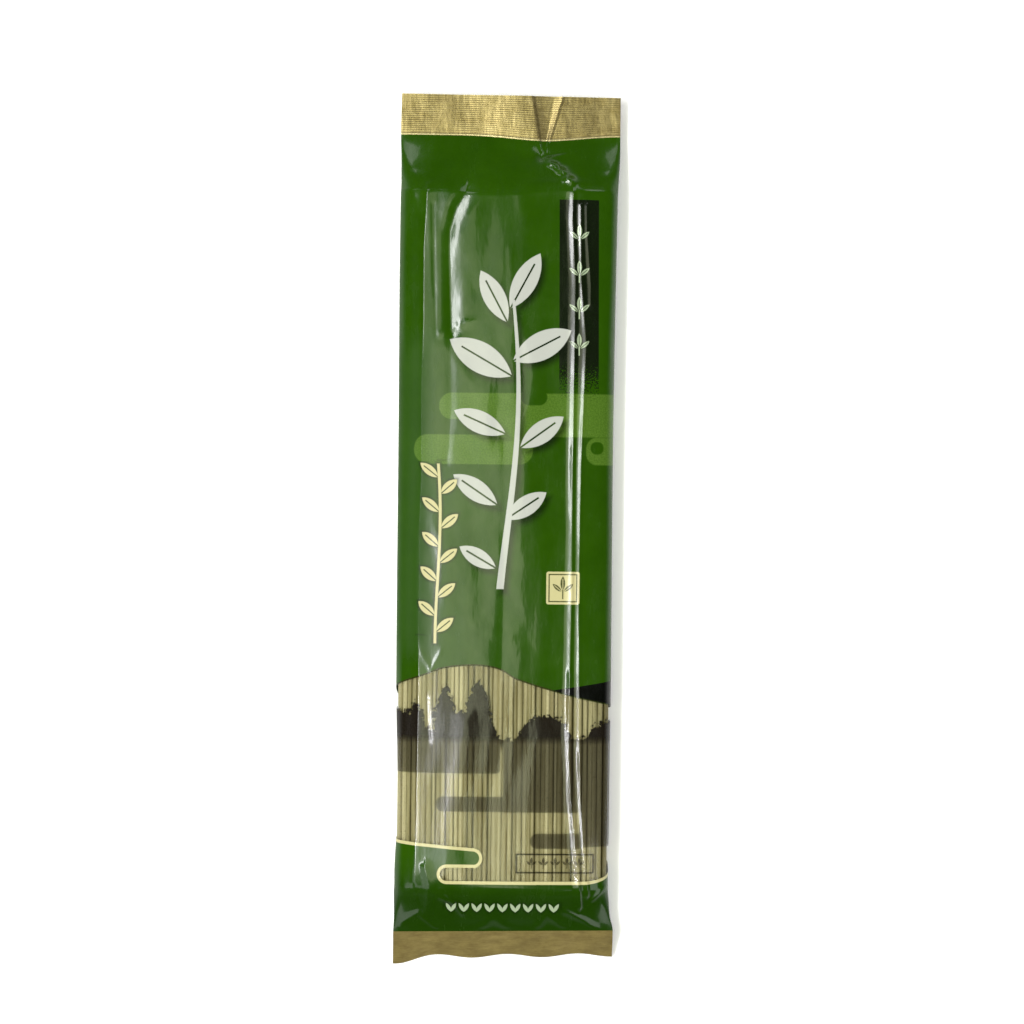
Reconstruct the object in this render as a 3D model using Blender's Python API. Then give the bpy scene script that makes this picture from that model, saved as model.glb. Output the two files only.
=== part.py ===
"""Film pack of dried noodles, lying on its back with the printed side up.

One closed body in metres.  X runs across the pack, Y along it with the pleated end
at +Y, and Z up.  The origin is under the middle of the pack, on the surface it lies on.
"""

from dataclasses import dataclass

import bmesh
import bpy
import numpy as np

# Overall sizes
PACK_LENGTH = 0.2800
FILM_LAYERS = 0.0006
BACK_LIFT = 0.0004
RIM_HEIGHT = 0.0072
BACK_POWER = 4.6

# Lengthwise fin seal on the back
FIN_HALF_WIDTH = 0.0055
FIN_STEP = 0.00015
FIN_FLAT_LOW = -0.1020
FIN_FLAT_HIGH = 0.0960

# Pleated end seal at +Y
TOP_SEAL_LINE = 0.1268
TOP_EDGE = 0.1400
TOP_EDGE_TILT = -0.0112
TOP_LINE_SAG = 0.0017
TOP_SAG_CENTRE = 0.0110
TOP_SAG_REACH = 0.0150
PLEAT_STEP = 0.0005
PLEAT_RIDGE = 0.0006

# Wavy end seal at -Y
BOTTOM_SEAL_LINE = -0.1283
BOTTOM_LINE_TILT = 0.0150
BOTTOM_EDGE = -0.1368
HEM_WAVE = 0.00070
HEM_PITCH = 0.0225
HEM_PHASE = 0.0015
HEM_TILT = 0.0160
HEM_LIFT = 0.0011
CORNER_DROP = 0.0022
CORNER_REACH = 0.0080

# Printed film fields
HILL_PEAK = -0.0425
HILL_FALL = 0.0115
CLOUD_EDGE_LOW = -0.1128
CLOUD_EDGE_HIGH = -0.1005
CLOUD_STEP_X = -0.0085

# Mesh
ROW_STEP = 0.0070
END_ROW_STEP = 0.0021
SEAL_ROWS = 5


@dataclass(frozen=True)
class Station:
    """One cross-section: where it lies, how wide and high it is, and its roundness."""

    y: float
    half_width: float
    centre: float
    top: float
    back: float
    power: float


@dataclass(frozen=True)
class Crease:
    """A raised line in the front film, through (x, y) points, with its size."""

    path: tuple
    width: float
    height: float
    sharp: bool = True


STATIONS = (
    Station(-0.1400, 0.0353, 0.0000, 0.0034, 0.0028, 2.0),
    Station(-0.1283, 0.0352, 0.0001, 0.0075, 0.0069, 2.0),
    Station(-0.1235, 0.0346, -0.0003, 0.0108, 0.0042, 2.1),
    Station(-0.1170, 0.0344, -0.0006, 0.0146, 0.0012, 2.5),
    Station(-0.1080, 0.0342, -0.0007, 0.0159, BACK_LIFT, 3.0),
    Station(-0.0900, 0.0339, -0.0002, 0.0160, BACK_LIFT, 3.2),
    Station(-0.0450, 0.0344, -0.0006, 0.0160, BACK_LIFT, 3.2),
    Station(0.0300, 0.0344, -0.0007, 0.0160, BACK_LIFT, 3.2),
    Station(0.0960, 0.0347, -0.0004, 0.0160, BACK_LIFT, 3.1),
    Station(0.1060, 0.0348, -0.0003, 0.0154, 0.0006, 2.8),
    Station(0.1130, 0.0349, -0.0002, 0.0131, 0.0015, 2.4),
    Station(0.1200, 0.0351, -0.0001, 0.0092, 0.0034, 2.1),
    Station(TOP_SEAL_LINE, 0.0352, -0.0002, 0.0061, 0.0055, 2.0),
    Station(TOP_EDGE, 0.0351, -0.0001, 0.0058, 0.0052, 2.0),
)

RIDGE_PATH = (
    (0.0164, 0.1400),
    (0.0115, 0.1251),
    (0.0128, 0.1165),
    (0.0203, 0.1076),
    (0.0193, 0.0840),
    (0.0193, -0.0380),
    (0.0219, -0.0925),
    (0.0231, -0.1200),
    (0.0236, -0.1400),
)
STEP_PATH = (
    (0.0068, 0.1400),
    (0.0095, 0.1251),
    (0.0095, 0.1165),
    (0.0105, 0.1000),
    (0.0110, -0.1400),
)
SHOULDER_PATH = (
    (-0.0160, 0.1400),
    (-0.0150, 0.1120),
    (-0.0200, 0.1000),
    (-0.0190, 0.0640),
    (-0.0160, 0.0300),
    (-0.0160, -0.1400),
)
LEFT_PATH = (
    (-0.0275, 0.1400),
    (-0.0270, 0.1106),
    (-0.0249, 0.0737),
    (-0.0227, -0.0096),
    (-0.0240, -0.1400),
)
RIDGE_HALF = 0.0013
RIDGE_PAIR = 0.0030

CREASES = (
    Crease(RIDGE_PATH[3:8], RIDGE_HALF, 0.0006),
    Crease(tuple((x + RIDGE_PAIR, y) for x, y in RIDGE_PATH[3:8]), RIDGE_HALF, 0.0004),
    Crease(RIDGE_PATH[1:4], 0.0030, 0.0009, False),
    Crease(SHOULDER_PATH[1:4], 0.0042, 0.0005, False),
    Crease(LEFT_PATH[1:4], 0.0020, 0.0004, False),
    Crease(((-0.0350, 0.1185), (-0.0275, 0.1090)), 0.0028, 0.0008, False),
    Crease(((0.0338, 0.1200), (0.0300, 0.1090)), 0.0028, 0.0008, False),
    Crease(((-0.0235, -0.1050), (-0.0225, -0.1235)), 0.0026, 0.0009, False),
    Crease(((0.0070, -0.1275), (0.0150, -0.1225)), 0.0028, 0.0010, False),
    Crease(((0.0260, -0.1275), (0.0190, -0.1225)), 0.0030, 0.0010, False),
    Crease(((-0.0150, -0.1275), (-0.0100, -0.1225)), 0.0028, 0.0008, False),
    Crease(((-0.0310, -0.1275), (-0.0330, -0.1200)), 0.0026, 0.0008, False),
)

POCKETS = (
    Crease(((0.0080, 0.1240), (0.0100, 0.1190), (0.0165, 0.1195)), 0.0030, 0.0014, False),
    Crease(((-0.0060, -0.1265), (0.0020, -0.1240)), 0.0034, 0.0008, False),
    Crease(((0.0200, -0.1265), (0.0210, -0.1235)), 0.0024, 0.0009, False),
)


def smooth_curve(knots, values, at):
    """Cubic through the knots that never passes above or below its neighbours."""
    x = np.asarray(knots, float)
    y = np.asarray(values, float)
    step = np.diff(x)
    slope = np.diff(y) / step
    tangent = np.zeros_like(y)
    tangent[0] = slope[0]
    tangent[-1] = slope[-1]
    for i in range(1, len(x) - 1):
        if slope[i - 1] * slope[i] > 0.0:
            w1 = 2.0 * step[i] + step[i - 1]
            w2 = step[i] + 2.0 * step[i - 1]
            tangent[i] = (w1 + w2) / (w1 / slope[i - 1] + w2 / slope[i])
    at = np.clip(np.asarray(at, float), x[0], x[-1])
    i = np.clip(np.searchsorted(x, at, side="right") - 1, 0, len(x) - 2)
    t = (at - x[i]) / step[i]
    h00 = (1.0 + 2.0 * t) * (1.0 - t) ** 2
    h10 = t * (1.0 - t) ** 2
    h01 = t * t * (3.0 - 2.0 * t)
    h11 = t * t * (t - 1.0)
    return h00 * y[i] + h10 * step[i] * tangent[i] + h01 * y[i + 1] + h11 * step[i] * tangent[i + 1]


def station_value(name, y):
    """Value of one station field at length y."""
    return smooth_curve([s.y for s in STATIONS], [getattr(s, name) for s in STATIONS], y)


def ease(low, high, value):
    """Zero below low, one above high, with a smooth step between."""
    t = np.clip((value - low) / (high - low), 0.0, 1.0)
    return t * t * (3.0 - 2.0 * t)


def path_x(path, y):
    """X of a lengthwise path at length y."""
    points = sorted(path, key=lambda p: p[1])
    return np.interp(y, [p[1] for p in points], [p[0] for p in points])


def path_distance(path, x, y):
    """Shortest distance from (x, y) to the path."""
    best = 1.0
    for (ax, ay), (bx, by) in zip(path[:-1], path[1:]):
        dx = bx - ax
        dy = by - ay
        t = min(1.0, max(0.0, ((x - ax) * dx + (y - ay) * dy) / (dx * dx + dy * dy)))
        best = min(best, float(np.hypot(x - ax - t * dx, y - ay - t * dy)))
    return best


def crease_height(crease, x, y):
    """Height of one crease at (x, y)."""
    d = path_distance(crease.path, x, y) / crease.width
    if crease.sharp:
        return crease.height * max(0.0, 1.0 - d)
    return crease.height * float(np.exp(-2.0 * d * d))


def front_relief(x, y):
    """Height of the folds and the uneven fill over the plain front film."""
    relief = sum(crease_height(c, x, y) for c in CREASES)
    relief -= sum(crease_height(c, x, y) for c in POCKETS)
    fill = ease(-0.120, -0.100, y) * (1.0 - ease(0.098, 0.112, y))
    waves = 0.00022 * np.sin(x / 0.0061 + 2.1 * np.sin(y / 0.038))
    waves += 0.00018 * np.sin(y / 0.0135 + x / 0.021 + 0.7)
    return relief + fill * waves


def top_line_shift(x):
    """How far the pleated seal's inner line sags below its straight line."""
    bump = np.exp(-(((x - TOP_SAG_CENTRE) / TOP_SAG_REACH) ** 2))
    return -TOP_LINE_SAG * bump


def bottom_edge_y(x):
    """Length position of the wavy cut edge."""
    wave = HEM_WAVE * np.cos(2.0 * np.pi * (x - HEM_PHASE) / HEM_PITCH)
    corner = CORNER_DROP * np.exp(-(((x + 0.036) / CORNER_REACH) ** 2))
    return BOTTOM_EDGE + wave + HEM_TILT * x - corner


def shifted_y(x, v):
    """Length position of row v at width x, with both ends' uneven lines."""
    if v > 0.0:
        near = ease(0.108, TOP_SEAL_LINE, v)
        past = max(0.0, (v - TOP_SEAL_LINE) / (TOP_EDGE - TOP_SEAL_LINE))
        edge = TOP_EDGE_TILT * (x + 0.0352)
        return v + (1.0 - past) * near * top_line_shift(x) + past * edge
    near = ease(0.112, -BOTTOM_SEAL_LINE, -v)
    past = max(0.0, (BOTTOM_SEAL_LINE - v) / (BOTTOM_SEAL_LINE + 0.5 * PACK_LENGTH))
    line = BOTTOM_LINE_TILT * x
    edge = bottom_edge_y(x) + 0.5 * PACK_LENGTH
    return v + (1.0 - past) * near * line + past * edge


def section_curve(v, front):
    """Dense plain half-section at row v: arrays of arc length, x and z, from -X to +X."""
    half = float(station_value("half_width", v))
    centre = float(station_value("centre", v))
    top = float(station_value("top", v))
    back = float(station_value("back", v))
    power = float(station_value("power", v))
    rim = min(RIM_HEIGHT, 0.5 * (top + back))
    lip = 0.5 * FILM_LAYERS
    angle = np.linspace(0.0, np.pi, 721)
    exponent = power if front else BACK_POWER
    reach = np.cos(angle)
    lift = np.sin(angle)
    x = -np.sign(reach) * np.abs(reach) ** (2.0 / exponent) * half + centre
    bulge = np.abs(lift) ** (2.0 / exponent)
    if front:
        z = rim + lip + bulge * (top - rim - lip)
    else:
        z = rim - lip - bulge * (rim - lip - back)
    arc = np.concatenate(([0.0], np.cumsum(np.hypot(np.diff(x), np.diff(z)))))
    return arc, x, z


def front_columns(v):
    """X of each front column at row v: columns follow the main folds."""
    arc, x, _ = section_curve(v, True)
    ridge = float(path_x(RIDGE_PATH, v))
    marks = (
        (float(path_x(LEFT_PATH, v)), 6),
        (float(path_x(SHOULDER_PATH, v)), 2),
        (0.0, 5),
        (float(path_x(STEP_PATH, v)), 3),
        (ridge - RIDGE_HALF, 2),
        (ridge, 1),
        (ridge + 0.5 * RIDGE_PAIR, 1),
        (ridge + RIDGE_PAIR, 1),
        (ridge + RIDGE_PAIR + RIDGE_HALF, 1),
        (float(x[-1]), 6),
    )
    places = [0.0]
    for mark, count in marks:
        goal = float(np.interp(mark, x, arc)) if mark < x[-1] else float(arc[-1])
        start = places[-1]
        places += [start + (goal - start) * (k + 1) / count for k in range(count)]
    return np.array(places), arc


def back_columns(v):
    """Arc position of each back column at row v: columns follow the fin's edges."""
    arc, x, _ = section_curve(v, False)
    centre = float(station_value("centre", v))
    marks = (
        (centre - FIN_HALF_WIDTH - FIN_STEP, 10),
        (centre - FIN_HALF_WIDTH, 1),
        (centre + FIN_HALF_WIDTH, 6),
        (centre + FIN_HALF_WIDTH + FIN_STEP, 1),
        (float(x[-1]), 10),
    )
    places = [0.0]
    for mark, count in marks:
        goal = float(np.interp(mark, x, arc)) if mark < x[-1] else float(arc[-1])
        start = places[-1]
        places += [start + (goal - start) * (k + 1) / count for k in range(count)]
    return np.array(places), arc


FIN_FIRST = 11
FIN_LAST = 17


def ring_points(v):
    """Corner points of the closed ring at row v: front from -X to +X, then back again."""
    places, _ = front_columns(v)
    arc, xs, zs = section_curve(v, True)
    front_x = np.interp(places, arc, xs)
    front_z = np.interp(places, arc, zs)
    places, _ = back_columns(v)
    arc, xs, zs = section_curve(v, False)
    back_x = np.interp(places, arc, xs)
    back_z = np.interp(places, arc, zs)
    toward_end = max(ease(0.106, TOP_SEAL_LINE, v), ease(0.110, -BOTTOM_SEAL_LINE, -v))
    back_x = back_x + toward_end * (front_x - back_x)
    back_z = np.interp(back_x, xs, zs)
    flat = FIN_FLAT_LOW <= v <= FIN_FLAT_HIGH
    step = float(path_x(STEP_PATH, v))
    ridge = float(path_x(RIDGE_PATH, v))
    sealed = float(ease(0.1215, TOP_SEAL_LINE, v))
    points = []
    for i, (x, z) in enumerate(zip(front_x, front_z)):
        inside = min(1.0, 6.0 * min(i, len(front_x) - 1 - i) / len(front_x))
        y = shifted_y(x, v)
        rise = front_relief(x, y) * inside
        if sealed > 0.0:
            pleat = PLEAT_STEP if -0.0070 < x <= step + 0.0001 else 0.0
            pleat += PLEAT_RIDGE * max(0.0, 1.0 - abs(x - ridge) / RIDGE_HALF)
            rise = (1.0 - sealed) * rise + sealed * pleat
        points.append((x, y, z + rise + hem_lift(x, v)))
    for i in range(len(back_x) - 1, -1, -1):
        x = back_x[i]
        z = back_z[i]
        if FIN_FIRST <= i <= FIN_LAST:
            z -= BACK_LIFT * (1.0 - toward_end)
            if flat:
                z = 0.0
        points.append((x, shifted_y(x, v), z + hem_lift(x, v)))
    return points


def hem_lift(x, v):
    """Up and down waves of the wavy end seal."""
    past = max(0.0, (BOTTOM_SEAL_LINE - v) / (BOTTOM_SEAL_LINE + 0.5 * PACK_LENGTH))
    wave = np.cos(2.0 * np.pi * (x - HEM_PHASE) / HEM_PITCH)
    corner = np.exp(-(((x + 0.036) / CORNER_REACH) ** 2))
    return past * (HEM_LIFT * wave - 0.0012 * corner)


def row_places():
    """Length positions of all rows, closer together at both ends."""
    top_body = 0.0990
    low_body = -0.1040
    count = round((top_body - low_body) / ROW_STEP)
    rows = list(np.linspace(-0.5 * PACK_LENGTH, BOTTOM_SEAL_LINE, SEAL_ROWS))
    low_count = round((low_body - BOTTOM_SEAL_LINE) / END_ROW_STEP)
    rows += list(np.linspace(BOTTOM_SEAL_LINE, low_body, low_count + 1))[1:]
    rows += list(np.linspace(low_body, top_body, count + 1))[1:]
    top_count = round((TOP_SEAL_LINE - top_body) / END_ROW_STEP)
    rows += list(np.linspace(top_body, TOP_SEAL_LINE, top_count + 1))[1:]
    rows += list(np.linspace(TOP_SEAL_LINE, TOP_EDGE, SEAL_ROWS))[1:]
    return rows


def make_material(name, colour, roughness, metallic):
    """Plain surface finish."""
    material = bpy.data.materials.new(name)
    material.use_nodes = True
    shader = material.node_tree.nodes["Principled BSDF"]
    shader.inputs["Base Color"].default_value = (*colour, 1.0)
    shader.inputs["Roughness"].default_value = roughness
    shader.inputs["Metallic"].default_value = metallic
    material.diffuse_color = (*colour, 1.0)
    return material


def field_index(x, y):
    """Which finish a front face has: 0 film, 1 end seal, 2 clear window."""
    hill = HILL_PEAK - HILL_FALL * min(1.0, ((x + 0.011) / 0.036) ** 2)
    cloud = CLOUD_EDGE_LOW if x > CLOUD_STEP_X else CLOUD_EDGE_HIGH
    return 2 if cloud < y < hill else 0


def build_pack():
    """Builds the pack as one closed body."""
    rows = row_places()
    bm = bmesh.new()
    rings = [[bm.verts.new(p) for p in ring_points(v)] for v in rows]
    corners = [vert.co for ring in rings for vert in ring]
    middle_x = 0.5 * (min(c.x for c in corners) + max(c.x for c in corners))
    middle_y = 0.5 * (min(c.y for c in corners) + max(c.y for c in corners))
    bmesh.ops.translate(bm, verts=bm.verts, vec=(-middle_x, -middle_y, 0.0))
    around = len(rings[0])
    front = around // 2
    for j in range(len(rows) - 1):
        low = rings[j]
        high = rings[j + 1]
        sealed = rows[j + 1] <= BOTTOM_SEAL_LINE + 1e-9 or rows[j] >= TOP_SEAL_LINE - 1e-9
        for i in range(around):
            k = (i + 1) % around
            face = bm.faces.new((low[i], low[k], high[k], high[i]))
            if sealed:
                face.material_index = 1
            elif i < front - 1:
                middle = face.calc_center_median()
                face.material_index = field_index(middle.x, middle.y)
    for ring in (rings[0], rings[-1]):
        for i in range(front - 1):
            face = bm.faces.new((ring[i], ring[i + 1], ring[around - 2 - i], ring[around - 1 - i]))
            face.material_index = 1
    bmesh.ops.recalc_face_normals(bm, faces=bm.faces)
    mesh = bpy.data.meshes.new("noodle_pack")
    bm.to_mesh(mesh)
    bm.free()
    mesh.materials.append(make_material("green_film", (0.026, 0.084, 0.003), 0.28, 0.0))
    mesh.materials.append(make_material("gold_seal", (0.52, 0.42, 0.19), 0.38, 0.85))
    mesh.materials.append(make_material("clear_window", (0.27, 0.24, 0.11), 0.25, 0.0))
    pack = bpy.data.objects.new("noodle_pack", mesh)
    bpy.context.scene.collection.objects.link(pack)
    return pack


def main():
    """Clears the scene and builds the pack."""
    for old in list(bpy.data.objects):
        bpy.data.objects.remove(old, do_unlink=True)
    build_pack()


main()
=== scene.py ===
import logging
import math
from dataclasses import dataclass, field, replace
from enum import Enum

import bpy
import numpy as np
from mathutils import Matrix, Vector


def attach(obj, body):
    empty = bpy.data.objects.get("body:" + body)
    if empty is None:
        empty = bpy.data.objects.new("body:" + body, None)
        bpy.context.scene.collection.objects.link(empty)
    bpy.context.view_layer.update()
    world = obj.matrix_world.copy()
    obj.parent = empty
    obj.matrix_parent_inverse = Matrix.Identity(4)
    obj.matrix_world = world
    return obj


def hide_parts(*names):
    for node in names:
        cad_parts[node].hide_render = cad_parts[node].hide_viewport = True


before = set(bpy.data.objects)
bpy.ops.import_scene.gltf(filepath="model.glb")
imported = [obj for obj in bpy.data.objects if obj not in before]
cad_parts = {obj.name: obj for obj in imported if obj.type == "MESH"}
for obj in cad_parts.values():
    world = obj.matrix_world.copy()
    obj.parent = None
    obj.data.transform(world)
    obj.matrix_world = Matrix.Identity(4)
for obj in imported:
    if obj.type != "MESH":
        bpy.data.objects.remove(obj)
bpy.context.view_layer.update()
LOG = logging.getLogger("noodle_pack")
MM = 0.001


class Side(Enum):
    """The two sheets of film that make one ring around the noodles."""

    FRONT = "front"
    BACK = "back"


class Zone(Enum):
    """The printed fields of the film, by material slot."""

    UPPER = 0
    LOWER = 1
    BACK = 2


def ease(low: float, high: float, value: np.ndarray | float) -> np.ndarray | float:
    """Smooth step between two limits.

    Args:
        low: Where the step starts, at zero.
        high: Where the step ends, at one.
        value: The place or places to test.

    Returns:
        Zero to one for each place.
    """
    t = np.clip((value - low) / (high - low), 0.0, 1.0)
    return t * t * (3.0 - 2.0 * t)


def bell(at: np.ndarray | float, middle: float, reach: float) -> np.ndarray | float:
    """Rounded bump.

    Args:
        at: The place or places to test.
        middle: Where the bump stands.
        reach: How wide it is.

    Returns:
        One at the middle and less on both sides.
    """
    return np.exp(-(((at - middle) / reach) ** 2))


def smooth_curve(knots: list[float], values: list[float], at: np.ndarray | float) -> np.ndarray:
    """Cubic through knots that never passes above or below its neighbours.

    Args:
        knots: Rising places.
        values: The value at each place.
        at: Where to read the curve.

    Returns:
        The curve's values.
    """
    x = np.asarray(knots, float)
    y = np.asarray(values, float)
    step = np.diff(x)
    slope = np.diff(y) / step
    tangent = np.zeros_like(y)
    tangent[0] = slope[0]
    tangent[-1] = slope[-1]
    for i in range(1, len(x) - 1):
        if slope[i - 1] * slope[i] > 0.0:
            w1 = 2.0 * step[i] + step[i - 1]
            w2 = step[i] + 2.0 * step[i - 1]
            tangent[i] = (w1 + w2) / (w1 / slope[i - 1] + w2 / slope[i])
    at = np.clip(np.asarray(at, float), x[0], x[-1])
    i = np.clip(np.searchsorted(x, at, side="right") - 1, 0, len(x) - 2)
    t = (at - x[i]) / step[i]
    low = (1.0 + 2.0 * t) * (1.0 - t) ** 2 * y[i] + t * (1.0 - t) ** 2 * step[i] * tangent[i]
    high = t * t * (3.0 - 2.0 * t) * y[i + 1] + t * t * (t - 1.0) * step[i] * tangent[i + 1]
    return low + high


def linear(red: int, green: int, blue: int, level: float = 1.45) -> tuple[float, float, float, float]:
    """Surface colour that shows as a display colour under the studio light.

    Args:
        red: Red from 0 to 255.
        green: Green from 0 to 255.
        blue: Blue from 0 to 255.
        level: How brightly the light shows a white surface.

    Returns:
        Linear red, green, blue and full alpha.
    """
    parts = [c / 255.0 for c in (red, green, blue)]
    parts = [c / 12.92 if c <= 0.04045 else ((c + 0.055) / 1.055) ** 2.4 for c in parts]
    return (parts[0] / level, parts[1] / level, parts[2] / level, 1.0)


class Crest(Enum):
    """Section of a fold: rounded, pinched, or with straight flanks."""

    ROUND = "round"
    SHARP = "sharp"
    TENT = "tent"

    def section(self, d: np.ndarray) -> np.ndarray:
        """Height beside the crest.

        Args:
            d: Distance from the crest, in widths.

        Returns:
            One at the crest, down to zero.
        """
        if self is Crest.ROUND:
            return np.exp(-d * d)
        if self is Crest.SHARP:
            return np.exp(-d)
        return 0.16 * np.logaddexp(0.0, (1.0 - d) / 0.16)


@dataclass(frozen=True)
class Crease:
    """A raised or sunken line in the front film, in millimetres.

    The second width, when given, is that of the +X side.
    """

    path: tuple[tuple[float, float], ...]
    width: float
    height: float
    right_width: float = 0.0
    crest: Crest = Crest.TENT

    def relief(self, x: np.ndarray, y: np.ndarray) -> np.ndarray:
        """Height that this crease adds at the given places.

        Args:
            x: Places across the pack in metres.
            y: Places along the pack in metres.

        Returns:
            Height in metres, negative for a sunken crease.
        """
        best = np.full(x.shape, 1.0)
        side = np.zeros(x.shape)
        for (ax, ay), (bx, by) in zip(self.path[:-1], self.path[1:]):
            ax, ay, dx, dy = ax * MM, ay * MM, (bx - ax) * MM, (by - ay) * MM
            t = np.clip(((x - ax) * dx + (y - ay) * dy) / (dx * dx + dy * dy), 0.0, 1.0)
            off_x = x - ax - t * dx
            distance = np.hypot(off_x, y - ay - t * dy)
            side = np.where(distance < best, off_x, side)
            best = np.minimum(best, distance)
        width = np.where(side > 0.0, self.right_width or self.width, self.width)
        return self.height * MM * self.crest.section(best / (width * MM))


@dataclass(frozen=True)
class PackForm:
    """The pack's outer shape, in the CAD model's own sizes."""

    length: float = 0.2800
    lip: float = 0.0002
    rim_height: float = 0.0072
    back_power: float = 4.6
    top_line: float = 0.1268
    top_edge: float = 0.1400
    top_tilt: float = -0.0112
    top_sag: float = 0.0017
    sag_centre: float = 0.0110
    sag_reach: float = 0.0150
    bottom_line: float = -0.1283
    bottom_line_tilt: float = 0.0150
    bottom_edge: float = -0.1368
    hem_wave: float = 0.00070
    hem_pitch: float = 0.0225
    hem_phase: float = 0.0015
    hem_tilt: float = 0.0160
    hem_lift: float = 0.0011
    corner_drop: float = 0.0022
    corner_place: float = -0.036
    corner_reach: float = 0.0080
    corner_dip: float = 0.0012
    arc_depth: float = 0.0016
    arc_line: float = 0.109
    arc_reach: float = 0.005
    arc_centre: float = -0.005
    arc_width: float = 0.014
    pleat_step: float = 0.00085
    pleat_ridge: float = 0.00055
    seal_lift: float = 0.0007
    fin_half: float = 0.0055
    ridge_pair: float = 0.0030
    stations: tuple[tuple[float, ...], ...] = (
        (-0.14, 0.0353, 0, 0.0034, 0.0028, 2), (-0.1283, 0.0352, 0.0001, 0.0075, 0.0069, 2),
        (-0.1235, 0.0346, -0.0003, 0.0104, 0.0042, 2.1), (-0.117, 0.0344, -0.0006, 0.0143, 0.0012, 2.5),
        (-0.1152, 0.0343, -0.0007, 0.0153, 0.0009, 2.7), (-0.1136, 0.0342, -0.0007, 0.0158, 0.0007, 2.9),
        (-0.11, 0.0342, -0.0007, 0.0159, 0.0004, 3), (-0.09, 0.0339, -0.0002, 0.016, 0.0004, 3.2),
        (-0.045, 0.0344, -0.0006, 0.016, 0.0004, 3.2), (0.03, 0.0344, -0.0007, 0.016, 0.0004, 3.2),
        (0.1082, 0.0348, -0.0004, 0.016, 0.0005, 3), (0.1096, 0.0348, -0.0003, 0.0156, 0.0008, 2.8),
        (0.114, 0.0349, -0.0002, 0.0131, 0.0018, 2.4), (0.12, 0.0351, -0.0001, 0.0097, 0.0034, 2.1),
        (0.1264, 0.0352, -0.0002, 0.0063, 0.0053, 2), (0.1268, 0.0352, -0.0002, 0.0061, 0.0055, 2),
        (0.1276, 0.0352, -0.0002, 0.0061, 0.0055, 2), (0.14, 0.0351, -0.0001, 0.0058, 0.0052, 2),
    )
    ridge: tuple[tuple[float, float], ...] = (
        (0.0236, -0.14), (0.0231, -0.12), (0.0223, -0.102), (0.0219, -0.0925), (0.02, -0.058), (0.0193, -0.038),
        (0.0191, 0.0261), (0.0193, 0.084), (0.0203, 0.1076), (0.0177, 0.1124), (0.0161, 0.1146),
        (0.0128, 0.1165), (0.0115, 0.1251), (0.0164, 0.14),
    )
    step: tuple[tuple[float, float], ...] = (
        (0.011, -0.14), (0.0105, 0.1), (0.0095, 0.1165), (0.0095, 0.1251), (0.0068, 0.14),
    )
    shoulder: tuple[tuple[float, float], ...] = (
        (-0.017, -0.14), (-0.017, 0.03), (-0.019, 0.0642), (-0.0205, 0.0898), (-0.02, 0.1011),
        (-0.0169, 0.1075), (-0.0144, 0.1114), (-0.016, 0.14),
    )
    left: tuple[tuple[float, float], ...] = (
        (-0.024, -0.14), (-0.0227, -0.0096), (-0.0239, 0.0417), (-0.0249, 0.0737), (-0.0262, 0.1042),
        (-0.0269, 0.1106), (-0.0275, 0.14),
    )

    def value(self, column: int, v: float) -> float:
        """Value of a station column at a length.

        Args:
            column: 1 half width, 2 centre, 3 top, 4 back, 5 power.
            v: Place along the pack.

        Returns:
            The value.
        """
        return float(smooth_curve([s[0] for s in self.stations], [s[column] for s in self.stations], v))

    @staticmethod
    def path_x(path: tuple[tuple[float, float], ...], v: float) -> float:
        """Place across the pack of a lengthwise path at length v."""
        return float(np.interp(v, [p[1] for p in path], [p[0] for p in path]))

    def section(self, v: float, side: Side) -> tuple[np.ndarray, np.ndarray, np.ndarray]:
        """Plain half section at length v.

        Args:
            v: Place along the pack.
            side: Which sheet of the film.

        Returns:
            Arc length, x and z from the -X edge to the +X edge.
        """
        half, centre = self.value(1, v), self.value(2, v)
        top, back = self.value(3, v), self.value(4, v)
        rim = min(self.rim_height, 0.5 * (top + back))
        power = self.value(5, v) if side is Side.FRONT else self.back_power
        angle = np.linspace(0.0, np.pi, 901)
        reach, lift = np.cos(angle), np.sin(angle)
        x = -np.sign(reach) * np.abs(reach) ** (2.0 / power) * half + centre
        bulge = np.abs(lift) ** (2.0 / power)
        if side is Side.FRONT:
            z = rim + self.lip + bulge * (top - rim - self.lip)
        else:
            z = rim - self.lip - bulge * (rim - self.lip - back)
        arc = np.concatenate(([0.0], np.cumsum(np.hypot(np.diff(x), np.diff(z)))))
        return arc, x, z

    def shifted(self, x: np.ndarray, v: float) -> np.ndarray:
        """Place along the pack of a row, with both ends' uneven lines.

        Args:
            x: Places across the pack.
            v: The row.

        Returns:
            Places along the pack.
        """
        if v > 0.0:
            near = ease(0.108, self.top_line, v)
            past = max(0.0, (v - self.top_line) / (self.top_edge - self.top_line))
            sag = -self.top_sag * bell(x, self.sag_centre, self.sag_reach)
            arc = -self.arc_depth * bell(v, self.arc_line, self.arc_reach) * bell(x, self.arc_centre, self.arc_width)
            return v + (1.0 - past) * near * sag + past * self.top_tilt * (x + 0.0352) + arc
        near = ease(0.112, -self.bottom_line, -v)
        past = self.past_bottom(v)
        wave = self.hem_wave * np.cos(2.0 * np.pi * (x - self.hem_phase) / self.hem_pitch)
        corner = self.corner_drop * bell(x, self.corner_place, self.corner_reach)
        edge = self.bottom_edge + wave + self.hem_tilt * x - corner + 0.5 * self.length
        return v + (1.0 - past) * near * self.bottom_line_tilt * x + past * edge

    def past_bottom(self, v: float) -> float:
        """How far row v is into the wavy seal, from 0 at its inner line to 1 at its edge."""
        return max(0.0, (self.bottom_line - v) / (self.bottom_line + 0.5 * self.length))

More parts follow.
